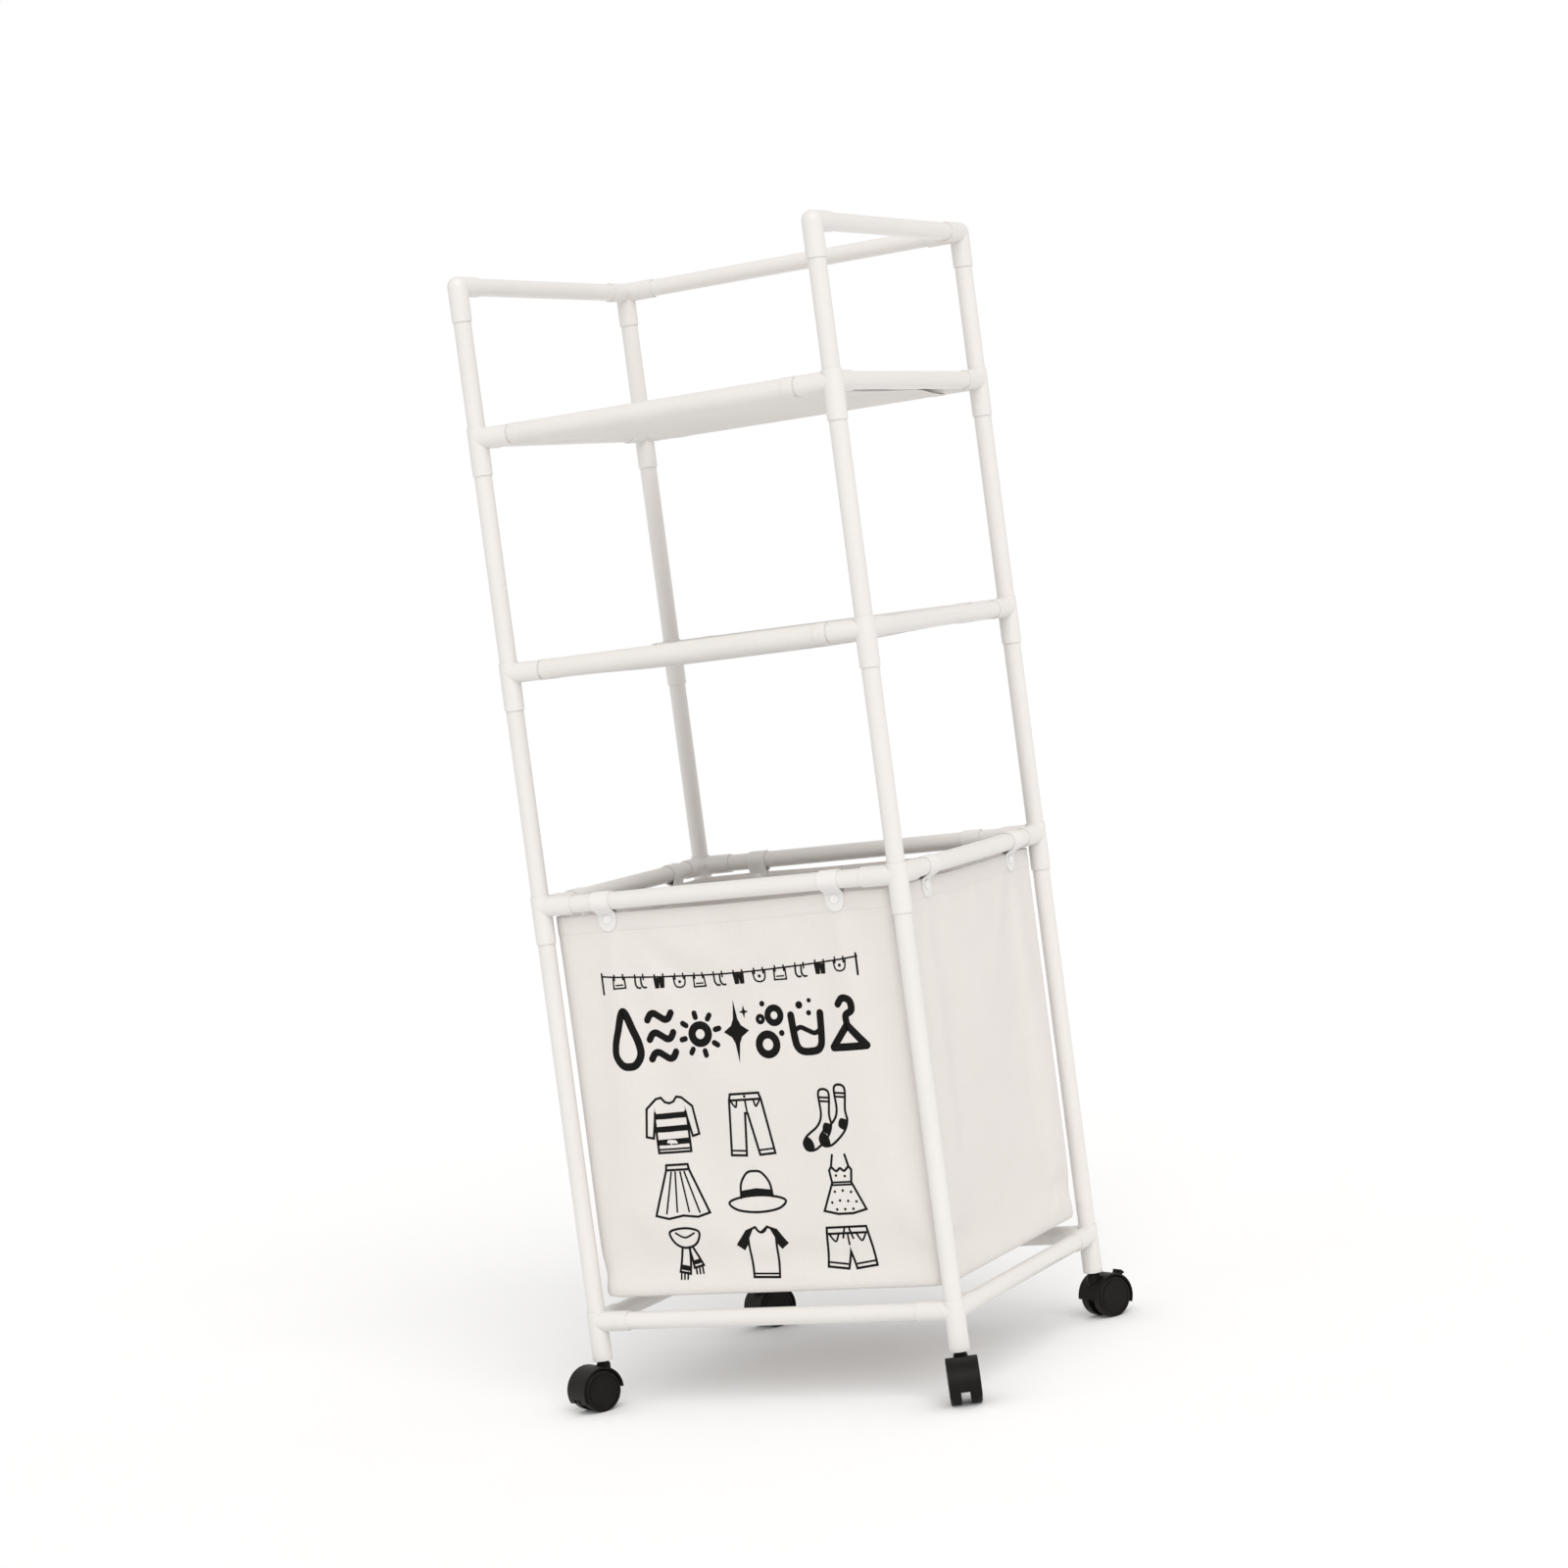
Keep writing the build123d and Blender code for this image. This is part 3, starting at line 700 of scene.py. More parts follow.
def make_bag():
    """The bag with its hem, bottom seam and stitches."""
    bag, around, tall, floor_z = make_bag_cloth()
    hem_v = tall - BAG_HEM
    hem = band(bag, "hamper_bag_hem", lambda u, v: v > hem_v and u >= 0,
               BAG_WALL + 2 * HEM_PROUD, 0.35 * MM)
    seam = band(bag, "hamper_bag_bottom_seam", lambda u, v: BAG_SEAM_START < v < BAG_SEAM and u > 0,
                BAG_WALL + HEM_PROUD, 0.2 * MM)
    skin = surface_of(bag)
    apply_modifier(bag, "SOLIDIFY", thickness=BAG_WALL, offset=0, use_even_offset=True)
    smooth(bag, 60)
    rows = []
    half_x, half_y, radius = bag_high.x, bag_high.y, BAG_CORNER_R
    full = 4 * (half_x + half_y - 2 * radius) + 2 * pi * radius
    for name, height, proud in (
            ("hem", bag_high.z - BAG_HEM + HEM_STITCH_IN, BAG_WALL / 2 + HEM_PROUD),
            ("bottom", floor_z + BAG_SEAM - SEAM_STITCH_IN, BAG_WALL / 2 + HEM_PROUD / 2)):
        path = []
        for number in range(301):
            plan, normal = round_the_bag(full * number / 300, half_x, half_y, radius)
            out = Vector((normal.x, normal.y, 0))
            start = Vector((plan.x, plan.y, height)) + out * 20 * MM
            hit, *_ = skin.ray_cast(start, -out)
            path.append((hit or start) + out * proud)
        rows.append(sew(f"hamper_bag_{name}_stitches", path, outward))
    return bag, hem, seam, rows, around, tall, skin


def outward(point):
    """Level direction out of the bag at a point near its wall."""
    inner_x, inner_y = bag_high.x - BAG_CORNER_R, bag_high.y - BAG_CORNER_R
    out = Vector((point.x - max(-inner_x, min(inner_x, point.x)),
                  point.y - max(-inner_y, min(inner_y, point.y)), 0))
    if out.length < 1e-6:
        out = Vector((0, -1, 0))
    return out.normalized()


bag, bag_hem, bag_seam, bag_rows, bag_around, bag_tall, bag_skin = make_bag()
belongs(bag, "hamper_fabric", "hamper_bag")
for piece in (bag_hem, bag_seam):
    belongs(piece, "hamper_fabric")
for row in bag_rows:
    belongs(row, "hamper_fabric", finish=THREAD)
bag_floor = 4 * (bag_high.x - MM) * (bag_high.y - MM)
cut_wide, cut_long = 2 * bag_high.x + 2 * bag_tall, 2 * bag_high.y + 2 * bag_tall
bag_around * bag_tall + bag_floor


# ---- base board -------------------------------------------------------------------------------


def make_base_board():
    """Stiff board with rounded corners, wrapped in cloth."""
    middle = (board_low + board_high) / 2
    size = board_high - board_low
    corner = BAG_CORNER_R - (bag_high.x - board_high.x)
    bpy.ops.object.select_all(action="DESELECT")
    bpy.ops.mesh.primitive_cube_add(size=1, location=middle, scale=size)
    board = settle(fresh("bag_base_board_cover"))
    bpy.ops.object.mode_set(mode="EDIT")
    bpy.ops.mesh.select_mode(type="EDGE")
    bpy.ops.mesh.select_all(action="DESELECT")
    shape = bmesh.from_edit_mesh(board.data)
    for edge in shape.edges:
        edge.select_set(abs(edge.verts[0].co.z - edge.verts[1].co.z) > size.z / 2)
    bpy.ops.mesh.bevel(offset=corner, segments=8, affect="EDGES")
    bpy.ops.mesh.select_mode(type="FACE")
    bpy.ops.mesh.select_all(action="DESELECT")
    shape = bmesh.from_edit_mesh(board.data)
    for face in shape.faces:
        face.select_set(abs(face.normal.z) > 0.9)
    bpy.ops.mesh.inset(thickness=4 * MM)
    bpy.ops.mesh.select_mode(type="VERT")
    bpy.ops.object.mode_set(mode="OBJECT")
    apply_modifier(board, "BEVEL", width=1.2 * MM, segments=3, limit_method="ANGLE",
                   angle_limit=radians(60))
    for loop, uv in zip(board.data.loops, board.data.uv_layers.active.uv):
        point = board.data.vertices[loop.vertex_index].co
        uv.vector = (point.x + point.z, point.y + point.z)
    smooth(board, 40)
    return board


board = make_base_board()
belongs(board, "board_fabric", "bag_base_board")


# ---- shelf sleeves ----------------------------------------------------------------------------


def make_sleeve(node):
    """A loop of cloth stretched round two rails, its free sides pulled in, with hems and a seam."""
    low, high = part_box(node)
    z = (low.z + high.z) / 2
    width = high.x - low.x - 2 * HEM_PROUD
    radius = (high.z - low.z) / 2 - SLEEVE_WALL / 2 + SLEEVE_ROUNDING
    flat = 2 * post_y
    turn = (pi * radius, SLEEVE_GRID / 3)
    sleeve = cloth_grid(f"{node}_cloth", cuts((width, SLEEVE_GRID)),
                        cuts((flat, SLEEVE_GRID), turn, (flat, SLEEVE_GRID), turn))
    for vertex in sleeve.data.vertices:
        # The loop runs from under the rear rail forwards, up round the front rail and back.
        s, x = vertex.co.y, vertex.co.x - width / 2
        if s < flat:
            y, rise = post_y - s, -radius
        elif s < flat + pi * radius:
            angle = (s - flat) / radius
            y, rise = -post_y - radius * sin(angle), -radius * cos(angle)
        elif s < 2 * flat + pi * radius:
            y, rise = -post_y + s - flat - pi * radius, radius
        else:
            angle = (s - 2 * flat - pi * radius) / radius
            y, rise = post_y + radius * sin(angle), radius * cos(angle)
        vertex.co = (x, y, z + rise)
    merge_doubles(sleeve)
    held = {}
    for vertex in sleeve.data.vertices:
        inside = post_y - abs(vertex.co.y)
        held[vertex.index] = max(0.0, min(1.0, 1.3 - inside / (12 * MM)))
    hang(sleeve, held, slack=-0.012, reach=14 * MM)
    for vertex in sleeve.data.vertices:
        # The two layers are sewn together along the free sides, which pull in at the waist.
        along = max(0.0, 1 - (vertex.co.y / post_y) ** 2)
        from_side = width / 2 - abs(vertex.co.x)
        from_rail = max(0.0, post_y - abs(vertex.co.y))
        sewn = (1 - exp(-(from_rail / (38 * MM)) ** 2)) * exp(-(from_side / (34 * MM)) ** 2)
        dip = along * (1 - (vertex.co.x / width) ** 2)
        sag = SLEEVE_SAG_TOP if vertex.co.z > z else SLEEVE_SAG_UNDER
        vertex.co.z = z + (vertex.co.z - z) * (1 - SLEEVE_SEWN * sewn) - sag * dip
        vertex.co.x *= 1 - SLEEVE_WAIST / (width / 2) * along
    subdivide_surface(sleeve)
    face_outwards(sleeve)
    skin = surface_of(sleeve)
    inner_edge, (seam_start, seam_end) = width - SLEEVE_HEM, SLEEVE_SEAM
    hems = [
        band(sleeve, f"{node}_hem_left", lambda u, v: u < SLEEVE_HEM,
             SLEEVE_WALL + 2 * HEM_PROUD, 0.3 * MM),
        band(sleeve, f"{node}_hem_right", lambda u, v: u > inner_edge,
             SLEEVE_WALL + 2 * HEM_PROUD, 0.3 * MM),
        band(sleeve, f"{node}_seam",
             lambda u, v: SLEEVE_HEM < u < inner_edge and seam_start < v < seam_end,
             SLEEVE_WALL + HEM_PROUD, 0.2 * MM),
    ]
    for hem, side in zip(hems, (-1, 1)):
        edge = max(side * vertex.co.x for vertex in sleeve.data.vertices)
        for vertex in hem.data.vertices:
            if side * vertex.co.x > edge - 0.5 * MM:
                vertex.co.x += side * HEM_PROUD
    apply_modifier(sleeve, "SOLIDIFY", thickness=SLEEVE_WALL, offset=0, use_even_offset=True)
    smooth(sleeve, 60)
    lift = SLEEVE_WALL / 2 + HEM_PROUD
    rows = []
    for side, label in ((-1, "left"), (1, "right")):
        for up, face in ((1, "top"), (-1, "under")):
            path = []
            for number in range(81):
                y = (number / 80 * 2 - 1) * (post_y + 2 * MM)
                t = max(-1.0, min(1.0, y / post_y))
                waist = 1 - SLEEVE_WAIST / (width / 2) * (1 - t * t)
                x = side * (width / 2 - SLEEVE_HEM + SLEEVE_STITCH_IN) * waist
                hit, *_ = skin.ray_cast(Vector((x, y, z + up * 40 * MM)), Vector((0, 0, -up)))
                if hit:
                    path.append(hit + Vector((0, 0, up * lift)))
            rows.append(sew(f"{node}_stitches_{label}_{face}", path,
                            lambda p, up=up: Vector((0, 0, up))))
    belongs(sleeve, "shelf_fabric", node)
    for hem in hems:
        belongs(hem, "shelf_fabric")
    stitches = join(rows, f"{node}_stitches")
    belongs(stitches, "shelf_fabric", finish=THREAD)


make_sleeve("middle_shelf_sleeve")
make_sleeve("top_shelf_sleeve")


# ---- hanging tabs -----------------------------------------------------------------------------


def strap_line():
    """The strap's middle line from the outer leg's round end, over the rail, to the inner one's.
    Points are (depth into the bag, height) from the rail axis."""
    ring = rail_r + 0.25 * MM + TAB_WALL / 2
    line = []

    def tangent(depth, turn):
        distance = hypot(depth, TAB_PINCH)
        spread = pi / 2 - atan2(ring, sqrt(distance ** 2 - ring ** 2))
        return atan2(-TAB_PINCH, depth) + turn * spread

    leave, meet = tangent(TAB_OUTER_DEPTH, -1), tangent(TAB_INNER_DEPTH, 1)
    leg = TAB_OUTER_END - TAB_WIDTH / 2
    for number in range(4):
        line.append((TAB_OUTER_DEPTH, -leg + (leg - TAB_PINCH) * number / 3))
    start = (ring * cos(leave), ring * sin(leave))
    for part in (0.35, 0.7):
        line.append((TAB_OUTER_DEPTH + (start[0] - TAB_OUTER_DEPTH) * part,
                     -TAB_PINCH + (start[1] + TAB_PINCH) * part))
    sweep = meet - leave - 2 * pi if meet > leave else meet - leave
    for number in range(29):
        angle = leave + sweep * number / 28
        line.append((ring * cos(angle), ring * sin(angle)))
    end = line[-1]
    for part in (0.3, 0.65, 1.0):
        line.append((end[0] + (TAB_INNER_DEPTH - end[0]) * part,
                     end[1] + (-TAB_PINCH - end[1]) * part))
    leg = TAB_INNER_END - TAB_WIDTH / 2
    for number in range(1, 3):
        line.append((TAB_INNER_DEPTH, -TAB_PINCH - (leg - TAB_PINCH) * number / 2))
    return line


def make_tab_strap():
    """One webbing strap over a rail along X, with half-round ends."""
    line = strap_line()
    half = TAB_WIDTH / 2
    ends, columns = 6, 10
    travelled = [0.0]
    for a, b in zip(line, line[1:]):
        travelled.append(travelled[-1] + hypot(b[0] - a[0], b[1] - a[1]))
    length = travelled[-1] + TAB_WIDTH
    rows = len(line) + 2 * ends
    bpy.ops.object.select_all(action="DESELECT")
    bpy.ops.mesh.primitive_grid_add(x_subdivisions=columns, y_subdivisions=rows - 1, size=1)
    strap = fresh("tab_strap")
    places = []
    for vertex in strap.data.vertices:
        column = round((vertex.co.x + 0.5) * columns)
        row = round((vertex.co.y + 0.5) * (rows - 1))
        turn = (column / columns - 0.5) * pi
        x, bulge = half * sin(turn), half * cos(turn)
        if row < ends:
            depth, z = line[0]
            out = bulge * (ends - row) / ends
            vertex.co, s = (x, depth, z - out), half - out
        elif row >= rows - ends:
            depth, z = line[-1]
            out = bulge * (row - rows + ends + 1) / ends
            vertex.co, s = (x, depth, z - out), half + travelled[-1] + out
        else:
            depth, z = line[row - ends]
            vertex.co, s = (x, depth, z), half + travelled[row - ends]
        places.append((x + half, s))
    for loop, uv in zip(strap.data.loops, strap.data.uv_layers.active.uv):
        uv.vector = places[loop.vertex_index]
    merge_doubles(strap)
    return strap, length


def make_snap():
    """Snap cap with a raised rim and a shallow dish, and the socket half inside the bag."""
    outer = TAB_OUTER_DEPTH - TAB_WALL / 2
    inner = TAB_INNER_DEPTH + TAB_WALL / 2
    halves = []
    for label, face, way, (rings, middle) in (("cap", outer, -1, SNAP_CAP),
                                              ("socket", inner, 1, SNAP_SOCKET)):
        bpy.ops.object.select_all(action="DESELECT")
        bpy.ops.mesh.primitive_circle_add(vertices=28, radius=SNAP_R, fill_type="NGON")
        half = fresh(f"snap_{label}")
        bpy.ops.object.mode_set(mode="EDIT")
        bpy.ops.mesh.select_all(action="SELECT")
        reach, height = 1.0, 0.0
        for share, rise in ((1.0, SNAP_EDGE), *rings):
            step = (0, 0, (rise - height) * SNAP_HEIGHT * MM)
            bpy.ops.mesh.extrude_region_move(TRANSFORM_OT_translate={"value": step})
            if share != reach:
                bpy.ops.transform.resize(value=(share / reach, share / reach, 1))
            reach, height = share, rise
        bpy.ops.mesh.poke(offset=(middle - height) * SNAP_HEIGHT * MM)
        bpy.ops.object.mode_set(mode="OBJECT")
        subdivide_surface(half)
        turned(half, Matrix.Translation((0, face, -SNAP_DROP))
               @ Matrix.Rotation(-way * pi / 2, 4, "X"))
        smooth(half, 50)
        halves.append(half)
    return join(halves, "snap_pair")


def make_tab_threads(depth):
    """Stitches round the flat of the outer leg, inside its edge."""
    half = TAB_WIDTH / 2 - TAB_STITCH_IN
    round_z = -(TAB_OUTER_END - TAB_WIDTH / 2)
    path = [Vector((-half, depth, -TAB_PINCH - 0.8 * MM))]
    for number in range(13):
        angle = pi + pi * number / 12
        path.append(Vector((half * cos(angle), depth, round_z + half * sin(angle))))
    path.append(Vector((half, depth, -TAB_PINCH - 0.8 * MM)))
    return sew("tab_threads", path, lambda p: Vector((0, -1, 0)))


def make_tabs():
    """One strap with its snap and stitches, copied to the eight places."""
    strap, length = make_tab_strap()
    threads = make_tab_threads(TAB_OUTER_DEPTH - TAB_WALL / 2)
    subdivide_surface(strap)
    face_outwards(strap)
    apply_modifier(strap, "SOLIDIFY", thickness=TAB_WALL, offset=0, use_even_offset=True)
    smooth(strap, 50)
    snap = make_snap()
    for number, (place, inward) in enumerate(tab_centres(), 1):
        angle = atan2(inward.y, inward.x) - pi / 2
        turn = Matrix.Translation(place) @ Matrix.Rotation(angle, 4, "Z")
        tab = turned(copy_of(strap, f"hanging_tab_{number}"), turn)
        button = turned(copy_of(snap, f"tab_snap_{number}"), turn)
        sewn = turned(copy_of(threads, f"tab_stitches_{number}"), turn)
        belongs(tab, "tab_webbing", "hanging_tabs")
        belongs(button, "snap_plastic", "snap_buttons")
        belongs(sewn, "tab_webbing", finish=THREAD)
    for pattern in (strap, threads, snap):
        bpy.data.objects.remove(pattern)


make_tabs()


# ---- print on the hamper's front --------------------------------------------------------------
# Own design: a line of washing, a row of bold laundry signs and nine garments. Drawn in
# millimetres, x to the right from the middle of the panel and z up from the floor.

INK_PROUD = 0.25 * MM
BOLD = 8.4                      # width of the signs' strokes
# A stroke's round end: how far past its last point, and how wide there, as shares of half the
# width and of the width.
END_REACH = (0.4, 0.75, 0.94, 1.0)
END_WIDTH = (0.04, 0.34, 0.66, 0.917)


class Drawing:
    """Ink lines and areas, drawn flat and then laid on the cloth."""

    def __init__(self):
        self.lines, self.areas = [], []
        self.at(0, 0)

    def at(self, x, z, scale=1.0):
        self.x, self.z, self.scale = x, z, scale
        return self

    def to_panel(self, points):
        return [(self.x + px * self.scale, self.z + pz * self.scale) for px, pz in points]

    def rounded(self, points, closed):
        """A soft curve through the points."""
        count = len(points)
        curve = []
        for i in range(count if closed else count - 1):
            if closed:
                a, b, c, d = (points[(i + k) % count] for k in (-1, 0, 1, 2))
            else:
                a, b, c, d = (points[max(0, min(count - 1, i + k))] for k in (-1, 0, 1, 2))
            steps = max(2, min(12, ceil(hypot(c[0] - b[0], c[1] - b[1]) / 1.6)))
            for k in range(steps):
                t = k / steps
                curve.append(tuple(
                    0.5 * (2 * b[j] + (c[j] - a[j]) * t
                           + (2 * a[j] - 5 * b[j] + 4 * c[j] - d[j]) * t * t
                           + (3 * b[j] - a[j] - 3 * c[j] + d[j]) * t ** 3) for j in (0, 1)))
        if not closed:
            curve.append(points[-1])
        return curve

    def line(self, *points, width=2.5, soft=False, closed=False):
        points = self.to_panel(points)
        if soft:
            points = self.rounded(points, closed)
        self.lines.append((points, width, closed))
        return self

    def area(self, *points, soft=False):
        points = self.to_panel(points)
        if soft:
            points = self.rounded(points, True)
        self.areas.append(points)
        return self

    def ring(self, x, z, r, width=2.5):
        return self.line(*((x + r * cos(k * pi / 6), z + r * sin(k * pi / 6)) for k in range(12)),
                         width=width, soft=True, closed=True)

    def dot(self, x, z, r):
        return self.area(*((x + r * cos(k * pi / 5), z + r * sin(k * pi / 5)) for k in range(10)),
                         soft=True)


def washing_line(draw):
    """A line between two poles, with small washing pegged along it."""
    draw.at(0, 456)
    draw.line((-153, 13), (-153, -9), width=2.2).line((151, 13), (151, -9), width=2.2)
    draw.line(*((x, 10 - 7 * (1 - (x / 152) ** 2)) for x in range(-152, 153, 19)),
              width=1.7, soft=True)
    for number, x in enumerate(range(-132, 133, 24)):
        top = 10 - 7 * (1 - (x / 152) ** 2)
        for peg in (-5, 5):
            draw.line((x + peg, top + 2.6), (x + peg, top - 3.0), width=1.7)
        kind = number % 4
        if kind == 0:
            draw.line((x - 6.5, top - 1), (x - 7, top - 12), (x + 7, top - 12), (x + 6.5, top - 1),
                      width=1.7)
            draw.line((x - 4, top - 8.6), (x + 4, top - 8.6), width=1.5)
        elif kind == 1:
            for leg in (-4, 3):
                draw.line((x + leg - 1, top - 1), (x + leg - 1, top - 8), (x + leg + 1.5, top - 11.5),
                          (x + leg + 4.5, top - 11.5), width=2.0, soft=True)
        elif kind == 2:
            draw.area((x - 6.5, top - 1), (x - 5.5, top - 12), (x - 0.6, top - 12), (x, top - 5),
                      (x + 0.6, top - 12), (x + 5.5, top - 12), (x + 6.5, top - 1))
        else:
            draw.line((x - 7, top - 1), (x - 5.5, top - 9.5), (x, top - 12), (x + 5.5, top - 9.5),
                      (x + 7, top - 1), width=1.7, soft=True)
            draw.dot(x, top - 6, 1.7)


def bold_signs(draw):
    """Seven bold signs: a drop, waves, the sun, a sparkle, bubbles, a wash tub and a coat hanger."""
    draw.at(-132, 364)
    draw.line((0, 63), (-9, 42), (-14, 27), (-14.5, 15), (-8, 5.5), (0, 3.5), (8, 5.5),
              (14.5, 15), (14, 27), (9, 42), width=BOLD, soft=True, closed=True)
    draw.at(-90, 364)
    for height in (13, 34, 55):
        draw.line((-15, height - 3), (-11, height + 2.5), (-6, height + 3.5), (0, height),
                  (6, height - 3.5),
                  (11, height - 2.5), (15, height + 3), width=BOLD * 0.9, soft=True)
    draw.at(-43, 397)
    draw.ring(0, 0, 9.5, width=BOLD)
    for k in range(8):
        a = k * pi / 4 + 0.2
        draw.line((18.5 * cos(a), 18.5 * sin(a)), (23 * cos(a), 23 * sin(a)), width=BOLD * 0.7)
    draw.at(0, 397)
    draw.area((0, 33), (-2.6, 13), (-6, 6), (-15, 0), (-6, -6), (-2.6, -13), (0, -33),
              (2.6, -13), (6, -6), (15, 0), (6, 6), (2.6, 13))
    draw.area((11, 27), (9.6, 21.4), (5.5, 20), (9.6, 18.6), (11, 13), (12.4, 18.6), (16.5, 20),
              (12.4, 21.4))
    draw.at(40, 364)
    draw.ring(-4, 17, 10.5, width=BOLD).ring(7, 47, 7.8, width=BOLD * 0.85)
    draw.ring(-10, 44, 3.4, width=BOLD * 0.5).dot(14, 28, 3.2).dot(-6, 60, 3.0)
    draw.at(84, 364)
    draw.line((-17, 46), (-15.5, 22), (-13.5, 12), (-7, 7), (7, 7), (13.5, 12), (15.5, 22), (17, 46),
              width=BOLD * 0.95, soft=True)
    draw.line((-15, 29), (-8, 32.5), (0, 29), (8, 25.5), (15, 29), width=BOLD * 0.6, soft=True)
    draw.dot(-6, 56, 4.0).dot(4, 47, 2.8).dot(6, 60, 2.4)
    draw.at(132, 364)
    draw.line((-19, 9.5), (0, 32), (19, 9.5), width=BOLD * 0.95)
    draw.line((-19, 9), (19, 9), width=BOLD * 0.95)
    draw.line((0, 34), (0, 42), (7, 47), (6, 57), (-2, 60), (-8, 54), width=BOLD * 0.9, soft=True)


def garments(draw):
    """Nine garments, each inside a square of about 64."""
    # Pullover with broad stripes
    draw.at(-92, 303)
    draw.line((-9, 29), (-15, 28), (-27, 18), (-31, -12), (-23, -14), (-19, 6), (-19, -30),
              (19, -30), (19, 6),
              (23, -14), (31, -12), (27, 18), (15, 28), (9, 29), (5, 24), (0, 22.5), (-5, 24),
              closed=True)
    draw.line((-19, 6), (-18, 13)).line((19, 6), (18, 13))
    for low in (-22, -8, 6):
        draw.area((-18.4, low), (-18.4, low + 6), (18.4, low + 6.6), (18.4, low + 0.4))
    draw.line((-18, -26.5), (18, -26.5), width=1.9)
    # Trousers
    draw.at(0, 300)
    draw.line((-17, 31), (17, 31), (19, 24), (27, -34), (9, -35), (1, 10), (-2, 10), (-7, -35),
              (-25, -34), (-19, 24), closed=True)
    draw.line((-19, 24.5), (19, 24.5)).line((0, 24), (0.5, 12), width=2.0)
    draw.line((-17, 23), (-12, 17), (-10, 24), width=2.0, soft=True)
    draw.line((17, 23), (12, 17), (10, 24), width=2.0, soft=True)
    draw.line((-24, -29), (-8, -30), width=1.9).line((10, -30), (26, -29), width=1.9)
    draw.dot(0, 28, 1.5)
    # Socks
    for x, z in ((83, 298), (103, 302)):
        draw.at(x, z)
        draw.line((4, 30), (16, 29), (14, 6), (15, -6), (9, -18), (-6, -30), (-17, -31),
                  (-21, -24), (-16, -16), (-2, -6), (4, 6), closed=True, soft=True)
        draw.line((4, 24), (16, 23), width=2.1).line((4, 20), (15.5, 19), width=2.1)
        draw.area((-9, -31.5), (-17, -31), (-21, -24), (-16.5, -17), (-10, -22), soft=True)
        draw.area((15, -6), (11, -15), (4, -11), (7, -3), soft=True)
    # Pleated skirt
    draw.at(-92, 231, 0.98)
    draw.line((-13, 29), (13, 29), (14, 23), (33, -25), (18, -29), (0, -27), (-18, -30),
              (-33, -26), (-14, 23), closed=True)
    draw.line((-14, 23.5), (14, 23.5))
    for top, foot in ((-8, -20), (-3, -7), (3, 8), (8, 21)):
        draw.line((top, 21), (foot, -22 - abs(foot) * 0.1), width=1.9)
    # Sun hat
    draw.at(-2, 229)
    draw.line((-34, -14), (-24, -22), (0, -25), (24, -22), (34, -14), (22, -9), (0, -7),
              (-22, -9), closed=True, soft=True)
    draw.line((-19, -9), (-17, 6), (-9, 17), (0, 19), (9, 17), (17, 6), (19, -9), soft=True)
    draw.area((-19.4, -8.6), (-18.4, -1.6), (0, 0.6), (18.4, -1.6), (19.4, -8.6), (0, -6.6))
    # Dotted dress
    draw.at(102, 230, 0.94)
    draw.line((-8, 33), (-11, 20), (-14, 16), (-12, 2), (-26, -29), (-9, -33), (9, -33),
              (26, -29), (12, 2), (14, 16), (11, 20), (8, 33), closed=False)
    draw.line((-11, 20), (-5, 15), (0, 18), (5, 15), (11, 20), soft=True)
    draw.line((-12, 2.4), (12, 2.4), width=2.0).line((-12, -0.6), (12, -0.6), width=2.0)
    for x, z in ((-6, 10), (5, 9), (-10, -8), (0, -7), (10, -9), (-15, -20), (-5, -18), (5, -19),
                 (15, -20), (-10, -28), (0, -28), (10, -28)):
        draw.dot(x, z, 1.5)
    # Long scarf
    draw.at(-94, 163, 0.88)
    draw.line((-20, 27), (-8, 31), (8, 31), (20, 26), (16, 14), (6, 8), (-6, 8),
              (-16, 15), closed=True, soft=True)
    draw.line((-12, 26), (0, 20), (13, 25), width=2.0, soft=True)
    draw.line((-6, 8), (-14, -22), (0, -25), (4, 8))
    draw.line((3, 7), (6, -18), (19, -15), (8, 8))
    for x in (-12.5, -8, -3.5):
        draw.line((x, -23), (x - 0.8, -31), width=2.0)
    for x in (8, 12.5, 17):
        draw.line((x, -17), (x + 0.8, -25), width=2.0)
    draw.area((-12.6, -13), (-13.8, -19), (-0.6, -21.6), (-0.2, -15.6))
    draw.area((5.4, -9), (5.9, -14.5), (17.4, -12), (15.6, -6.8))
    # T-shirt with dark sleeves
    draw.at(-2, 163, 0.9)
    draw.line((-8, 28), (-19, 24), (-17, -31), (17, -32), (19, 24), (8, 28), (0, 22), closed=False)
    draw.line((-8, 28), (-4, 23), (0, 21.6), (4, 23), (8, 28), soft=True)
    draw.area((-10, 28), (-21, 25), (-35, 8), (-25, 1), (-18.6, 9), (-18, 14))
    draw.area((10, 28), (21, 25), (35, 8), (25, 1), (18.6, 9), (18, 14))
    draw.line((-17, -27), (17, -28), width=1.9)
    # Shorts
    draw.at(100, 162, 0.95)
    draw.line((-24, 24), (24, 24), (25, 17), (30, -20), (5, -23), (0, -4), (-5, -23),
              (-30, -20), (-25, 17), closed=True)
    draw.line((-25, 17), (25, 17)).line((0, 16), (0, 4), width=2.0)
    draw.line((-29, -15), (-6, -18), width=2.0).line((29, -15), (6, -18), width=2.0)
    draw.line((-22, 16), (-16, 8), (-11, 16), width=2.0, soft=True)
    draw.line((22, 16), (16, 8), (11, 16), width=2.0, soft=True)
    draw.line((-3, 22), (-6, 12), width=2.1).line((3, 22), (6, 11), width=2.1)


